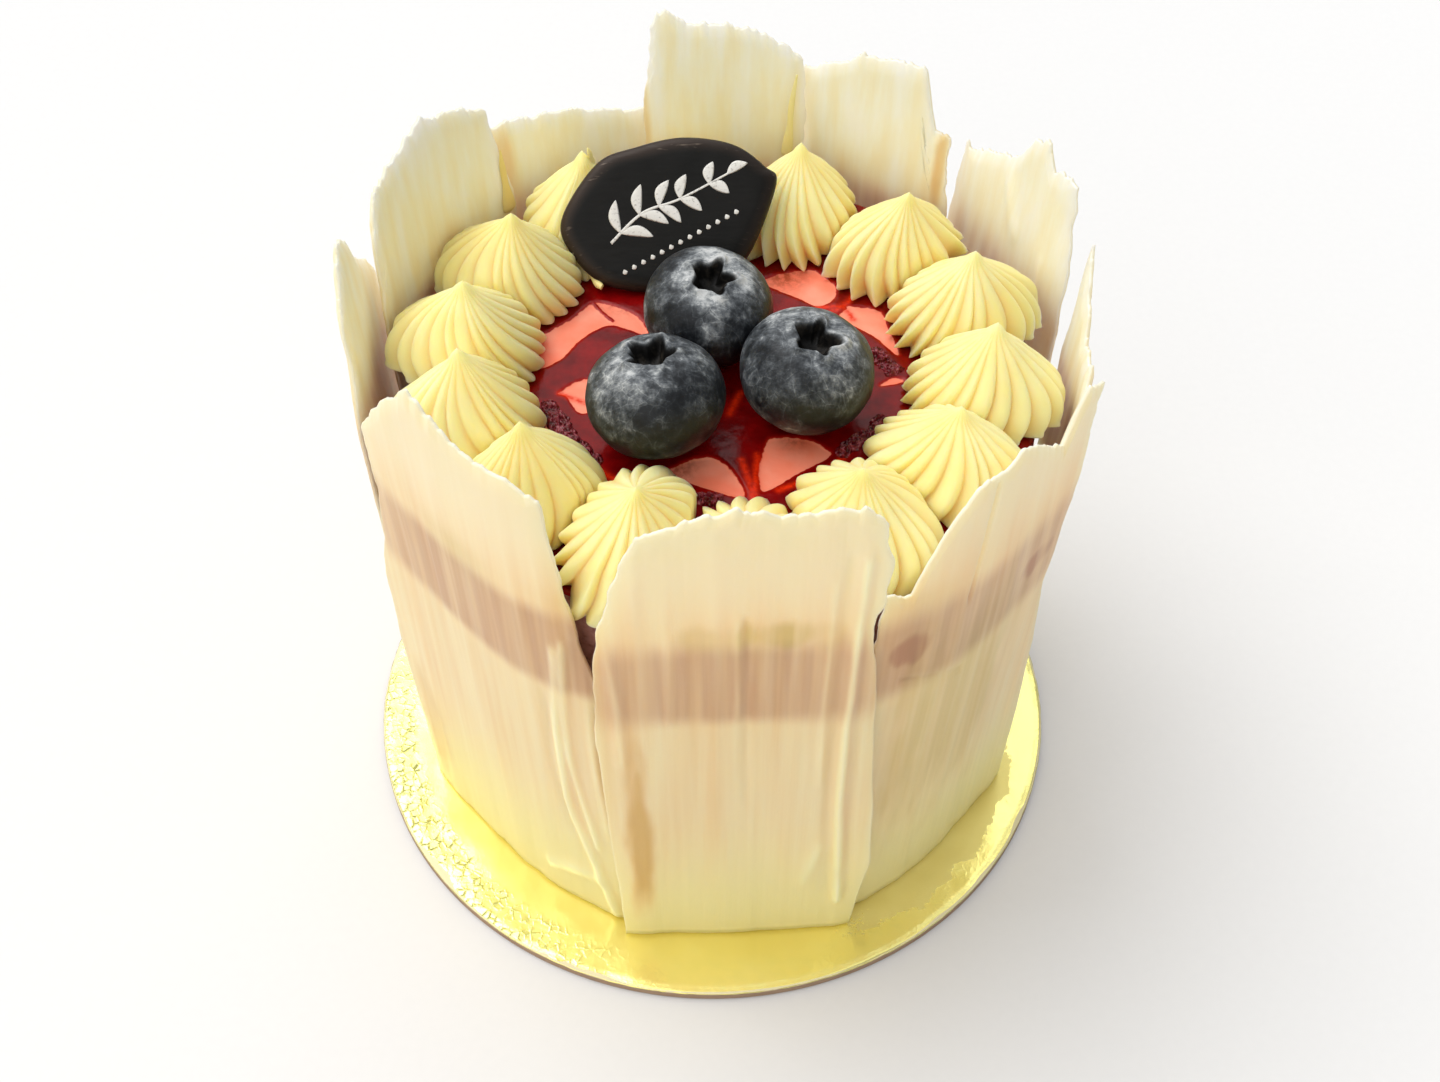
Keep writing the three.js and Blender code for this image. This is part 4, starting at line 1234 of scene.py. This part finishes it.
def berry_surface(width, centre, lean, seed):
    """An oblate turned form with dimples by noise. Near the crown, its radius
    follows a five-lobed star whose flaps lie low, and inside the star it drops to
    the scar. The grey wax is thickest near the crown; it is also painted paler on
    the top and at the back and darker at the front right, as painted light."""
    radius = width / 2
    section = smooth_line(BERRY_SECTION, 130)[1:-1]
    steps = 180
    turn = full_turn(steps)[None]
    out = section[:, :1]
    z = section[:, 1:] * BERRY_FLATTENING
    is_top = section[:, 1:] > 0
    ragged = value_noise(seed, 5 + 3 * np.cos(turn), 5 + 3 * np.sin(turn))
    lobe = 2 * (0.5 + 0.5 * np.cos(CROWN_LOBES * turn + 0.8 * ragged)) ** 1.2 - 0.9
    crown = np.where(is_top, 1 - eased(out, 0.3, 0.56), 0)
    spread = out * (1 + crown * (0.2 * lobe + 0.14 * ragged) * eased(out, 0.06, 0.2))
    rise = crown * eased(out, 0.22, 0.32) * (0.025 * lobe + 0.02 * ragged)
    x, y = spread * np.cos(turn), spread * np.sin(turn)
    z = z + rise
    dent = 0.014 * fractal(seed + 5, 3, 9 + 2.2 * x, 9 + 2.2 * y, 9 + 2.2 * z)
    unit = np.stack([x, y, z], -1) * (1 + dent * (1 - crown))[..., None]
    # Inside the star the material paints the scar near-black: its own dark colour and painted shade in
    # the hollow.
    inside = np.where(is_top, 1 - eased(out, 0.27, 0.335), 0) * np.ones_like(turn)
    near_crown = np.where(is_top, 1 - eased(out, 0.36, 0.8), 0)
    # Painted light: paler on top and at the back, darker at the front right; near the crown the wax is
    # thicker.
    bloom_and_painted_light = 0.22 + 0.2 * eased(z, -0.5, 0.9) + 0.12 * eased(y, -0.8, 0.9) + 0.26 * near_crown
    bloom_and_painted_light = bloom_and_painted_light - 0.16 * eased(x - y, 0.5, 1.3)
    surface = rings_surface(unit * radius, (0, 0, -radius * BERRY_FLATTENING),
                            (0, 0, radius * BERRY_FLATTENING * 0.55),
                            {"crown": inside, "bloom_and_painted_light": bloom_and_painted_light})
    placed = tilted(surface[0], -lean[0], lean[1]) + np.array(centre)
    return (placed, *surface[1:])


def make_berries():
    for index, (width, centre, lean) in enumerate(BERRIES):
        surface = berry_surface(width, centre, lean, 110 + 13 * index)
        add_piece(f"ripe_blueberry_{index + 1}", surface, MATERIALS["berry"],
                  [f"blueberry_{index + 1}"])


# --------------------------------------------------------------------- plaque


def stand_plaque(points):
    """Stands points that lie in the XY plane up in the plaque's place."""
    return tilted(turned_about_z(points, PLAQUE_ROLL), 90 - PLAQUE_LEAN, 0) + np.array(PLAQUE_CENTRE)


def lie_plaque(points):
    """The other way: lays points near the standing plaque down in the XY plane."""
    upright = points - np.array(PLAQUE_CENTRE)
    return turned_about_z(tilted(upright, PLAQUE_LEAN - 90, 0), -PLAQUE_ROLL)


# The plaque's section from its back to its face, as (inset from the outline, depth).
PLAQUE_SECTION = [
    (4.5, -1.2), (2, -1.2), (0.7, -1.2), (0.25, -1.0), (0.0, -0.5), (0.05, 0.1), (0.4, 0.6),
    (1.1, 0.96), (2.2, 1.15), (3.2, 1.2), (4.5, 1.2),
]


def raised(outline, depth):
    """A flat outline as points at one depth."""
    return np.column_stack([outline, np.full(len(outline), depth)])


def make_plaque():
    """An oval plate: its outline drawn inwards step by step, with a pillowed face."""
    outline = smooth_line(PLAQUE_OUTLINE, 260, True)
    section = smooth_line(PLAQUE_SECTION, 48)
    length = np.hypot(*outline.T)
    half = PLAQUE_THICKNESS / 2
    rings = [raised(outline * share, -half) for share in (0.1, 0.4)]
    rings += [raised(outline * ((length - inset) / length)[:, None], z) for inset, z in section]
    rings = np.array(rings + [raised(outline * share, half) for share in (0.5, 0.25, 0.08)])
    rings[..., 2] += 0.05 * value_noise(131, rings[..., 0] / 3 + 20, rings[..., 1] / 3 + 20)
    inset = np.concatenate([[6, 6], section[:, 0], [6, 6, 6]])[:, None]
    lit = 0.45 + 0.55 * eased(outline[:, 1] - 0.7 * outline[:, 0], -6, 12)
    rim = (1 - eased(inset, 0.5, 2.6)) * lit
    surface = rings_surface(rings, (0, 0, -half), (0, 0, half), {"rim": rim})
    placed = (stand_plaque(surface[0]), *surface[1:])
    add_piece("oval_plaque", placed, MATERIALS["dark"], ["chocolate_plaque"])


PRINT_LIFT = 1.27  # height of the print's middle over the plaque's middle plane
PRINT_HEIGHT = 0.07  # half of the print's thickness
STEM = [(-10.2, -1.6), (-4.2, 1.4), (2.0, 1.8), (10.4, 3.4)]


def leaf_surface(start, direction, length, width):
    """A flat leaf: half its width is w sin(pi t)^0.75 along its length."""
    share = np.linspace(0, 1, 16)
    way = np.array([math.cos(direction), math.sin(direction), 0])
    side = np.array([-way[1], way[0], 0])
    bow = 0.12 * length * np.sin(np.pi * share)
    middle = start + share[:, None] * length * way + bow[:, None] * side
    widths = np.maximum(width * np.sin(np.pi * share) ** 0.75, 0.04)
    heights = np.full(len(share), PRINT_HEIGHT)
    return tube_surface(middle, widths, heights, side, np.array([0, 0, 1.0]), 8)


def make_print():
    """A plain sprig in white: a curved stem with pairs of leaves and a row of dots."""
    stem = smooth_line([(x, y, PRINT_LIFT) for x, y in STEM], 40)
    step = np.gradient(stem, axis=0)
    up = np.array([0, 0, 1.0])
    width = 0.26 * (1 - 0.4 * np.linspace(0, 1, 40))
    heights = np.full(len(stem), PRINT_HEIGHT)
    shapes = [tube_surface(stem, width, heights, np.array([-0.3, 0.95, 0]), up, 8)]
    for place in range(5, 38, 7):
        heading = math.atan2(step[place][1], step[place][0])
        for turn in (-52, 52):
            length = 5.4 - 0.06 * place
            shapes.append(leaf_surface(stem[place], heading + math.radians(turn), length, 0.86))
    shapes.append(leaf_surface(stem[-2], math.atan2(step[-1][1], step[-1][0]), 3.6, 0.75))
    for number in range(13):
        spot = np.array([-9.8 + 1.6 * number, -6.6 + 0.32 * number, PRINT_LIFT])
        shapes.append(leaf_surface(spot, 0.2, 0.8, 0.4))
    print_shape = joined(shapes)
    placed = (stand_plaque(print_shape[0]), *print_shape[1:])
    add_piece("plaque_print", placed, MATERIALS["ink"])


# -------------------------------------------------------- white chocolate sheets


def sheet_place(sheet, across, height, depth):
    """A point of a sheet that faces +X: straight, or bent round a wrapped end."""
    is_wrapped = np.where(across < 0, *sheet["wrap"])
    turn = np.where(is_wrapped, across / WRAP_RADIUS, 0)
    sideways = np.where(is_wrapped, WRAP_RADIUS * np.sin(turn), across)
    face = sheet["standoff"] + sheet["lean"] * height - WRAP_RADIUS * (1 - np.cos(turn))
    x = face - depth * np.cos(turn)
    y = sideways - depth * np.sin(turn)
    return np.stack([x, y, height], -1)


def mark_relief(sheet, face, across, height):
    """The rise of a sheet's folds, smears and cracks: round-topped across each line
    and uneven along it."""
    rise = np.zeros_like(across)
    for side, line, half_width, peak in SHEET_MARKS.get(sheet["name"], []):
        if side == face:
            away = distance_to_line(across, height, line, 0.5) / (FOLD_SPREAD * half_width)
            rise += FOLD_HEIGHT * peak * np.exp(-away**2)
    return rise * (1 + 0.35 * value_noise(44, across / 2, height / 7))


def painted_shade_patches(sheet, shade, across, height):
    """How strong a sheet's painted shade of one tint is: soft ovals with rough sides."""
    strength = np.zeros_like(across)
    rough = 0.24 * fractal(len(shade), 3, across / 3, height / 11)
    for kind, x, z, half_width, half_height, peak in SHEET_PAINTED_SHADE.get(sheet["name"], []):
        if kind == shade:
            away = np.hypot((across - x) / half_width, (height - z) / half_height) + rough
            strength = np.maximum(strength, peak * (1 - eased(away, 0.35, 1.25)))
    return strength


def cream_behind(sheet_points):
    """Painted shade where cream shows through a sheet: 1 where a kiss presses on it, falling off beside
    and above it.
    """
    azimuth = np.degrees(np.arctan2(sheet_points[..., 1], sheet_points[..., 0]))
    furthest = np.interp(azimuth, *zip(*CREAM_REACH))
    contact = np.zeros(azimuth.shape)
    for kiss in KISSES:
        beside = np.radians(angle_between(azimuth, kiss[0])) * furthest / 6.5
        above = (sheet_points[..., 2] - (MOUSSE_TOP + 2.5)) / 3.4
        contact = np.maximum(contact, np.exp(-beside**2 - above**2))
    reach = np.hypot(sheet_points[..., 0], sheet_points[..., 1])
    return contact * (1 - eased(reach, furthest + 0.5, furthest + 4))


def mousse_behind(sheet_points):
    """The mousse band's shade on a sheet: sharp where it touches the cake, and
    fainter and softer as the gap behind it grows."""
    z = sheet_points[..., 2]
    gap = np.maximum(np.hypot(sheet_points[..., 0], sheet_points[..., 1]) - CAKE_RADIUS, 0)
    blur = 0.5 + 0.55 * gap
    band = eased(z, MOUSSE_FOOT - blur, MOUSSE_FOOT + blur)
    band = band * (1 - eased(z, MOUSSE_TOP - blur, MOUSSE_TOP + blur))
    return band * np.exp(-gap / 9)


def sheet_surface(sheet, index):
    """A scraped sheet: its outline has ragged noise, its outer face the scraper's
    upright strokes and slow waves, and it thins to a feather edge."""
    columns, rows = 170, 120
    seed = 200 + 20 * index
    u = np.linspace(0, 1, columns)[None]
    v = (1 - (1 - np.linspace(0, 1, rows)) ** 1.3)[:, None]
    foot = BODY_FOOT
    ragged = 0.55 * fractal(seed, 5, u * 14) + 0.5 * np.abs(value_noise(seed + 1, u * 32))
    upper = along(sheet["top"], u) + ragged - 0.25
    for place, width, rise in SHEET_NIBS.get(sheet["name"], []):
        upper = upper + rise * np.exp(-(((u - place) / width) ** 2))
    height = foot + (upper - foot) * v
    torn = 0.14 + 0.55 * eased(v, 0.5, 1.0)
    left = along(sheet["left"], v) + torn * fractal(seed + 2, 5, v * 14)
    right = along(sheet["right"], v) + torn * fractal(seed + 3, 5, v * 14)
    across = left + (right - left) * u
    height = np.broadcast_to(height, across.shape)
    stroke = 0.12 * fractal(seed + 4, 3, across * 0.28, height * 0.01)
    wave = 0.3 * value_noise(seed + 5, across / 13 + 9, height / 34 + 9)
    from_edge = np.minimum(np.minimum(across - left, right - across), 1.3 * (upper - height))
    solid = eased(from_edge, -0.3, 3.6) ** 0.6
    thickness = SHEET_THICKNESS * (0.28 + 0.72 * solid)
    lift = (stroke + mark_relief(sheet, "outer", across, height)) * solid
    dip = mark_relief(sheet, "inner", across, height) * solid
    middle = wave - 0.5 * SHEET_THICKNESS
    outer = sheet_place(sheet, across, height, -(middle + 0.5 * thickness + lift))
    inner = sheet_place(sheet, across, height, -(middle - 0.5 * thickness - dip))
    outer, inner = (turned_about_z(face, sheet["facing"]) for face in (outer, inner))
    # Painted light and shade for the material: foot and rim mark painted light, the raised folds a
    # painted highlight, olive, mauve and amber painted shade.
    olive = 0.6 * cream_behind(inner)
    readings = {
        "scrape": np.stack([across, height, np.full(across.shape, 10.0 * index)], -1),
        "rim": eased(height, MOUSSE_TOP - 2, MOUSSE_TOP + 18) * 0.85,
        "foot": 1 - eased(height, 8, 45),
        "painted_crest_highlight": eased(lift, 0.12, 0.7),
        "olive": np.maximum(olive, painted_shade_patches(sheet, "olive", across, height)),
        "mauve": np.maximum(mousse_behind(inner), painted_shade_patches(sheet, "mauve", across, height)),
        "amber": painted_shade_patches(sheet, "amber", across, height),
    }
    surface = slab_surface(outer, inner, readings)
    # Inner faces: the material paints them paler as painted light.
    surface[3]["inside"] = np.repeat([0.0, 1.0], across.size)
    return surface


def make_sheets():
    for index, sheet in enumerate(SHEETS):
        piece_name = "white_chocolate_" + sheet["name"]
        add_piece(piece_name, sheet_surface(sheet, index), MATERIALS["white"],
                  [sheet["name"]])


# ----------------------------------------------------------------------- stage


def make_floor():
    """A wide sheet of paper, flat under the card."""
    half = 3000.0
    corners = np.array([(-half, -half, 0), (half, -half, 0), (half, half, 0), (-half, half, 0)])
    mesh = bpy.data.meshes.new("paper_floor")
    mesh.from_pydata([tuple(c * MM) for c in corners], [], [(0, 1, 2, 3)])
    mesh.materials.append(studio_floor())
    floor = bpy.data.objects.new("paper_floor", mesh)
    bpy.context.scene.collection.objects.link(floor)


# -------------------------------------------------------------------- assembly

MATERIALS = {
    "white": white_chocolate(),
    "cream": piped_cream("piped_butter_cream", 1.0, 3.4),
    "thin_cream": piped_cream("smeared_butter_cream", 0.3, 0.6),
    "coating": cream_coating(),
    "mousse": berry_mousse_side(),
    "glaze": mirror_glaze(),
    "jam": berry_jam(),
    "berry": blueberry_skin(),
    "dark": dark_chocolate(),
    "ink": cocoa_butter_ink(),
    "foil": gold_foil(),
    "board": pressed_board(),
}

make_camera()
light_the_stage()
make_floor()
make_board()
make_foil()
make_body()
make_mousse()
make_glaze()
make_jam()
make_kisses()
make_tails()
make_berries()
make_plaque()
make_print()
make_sheets()
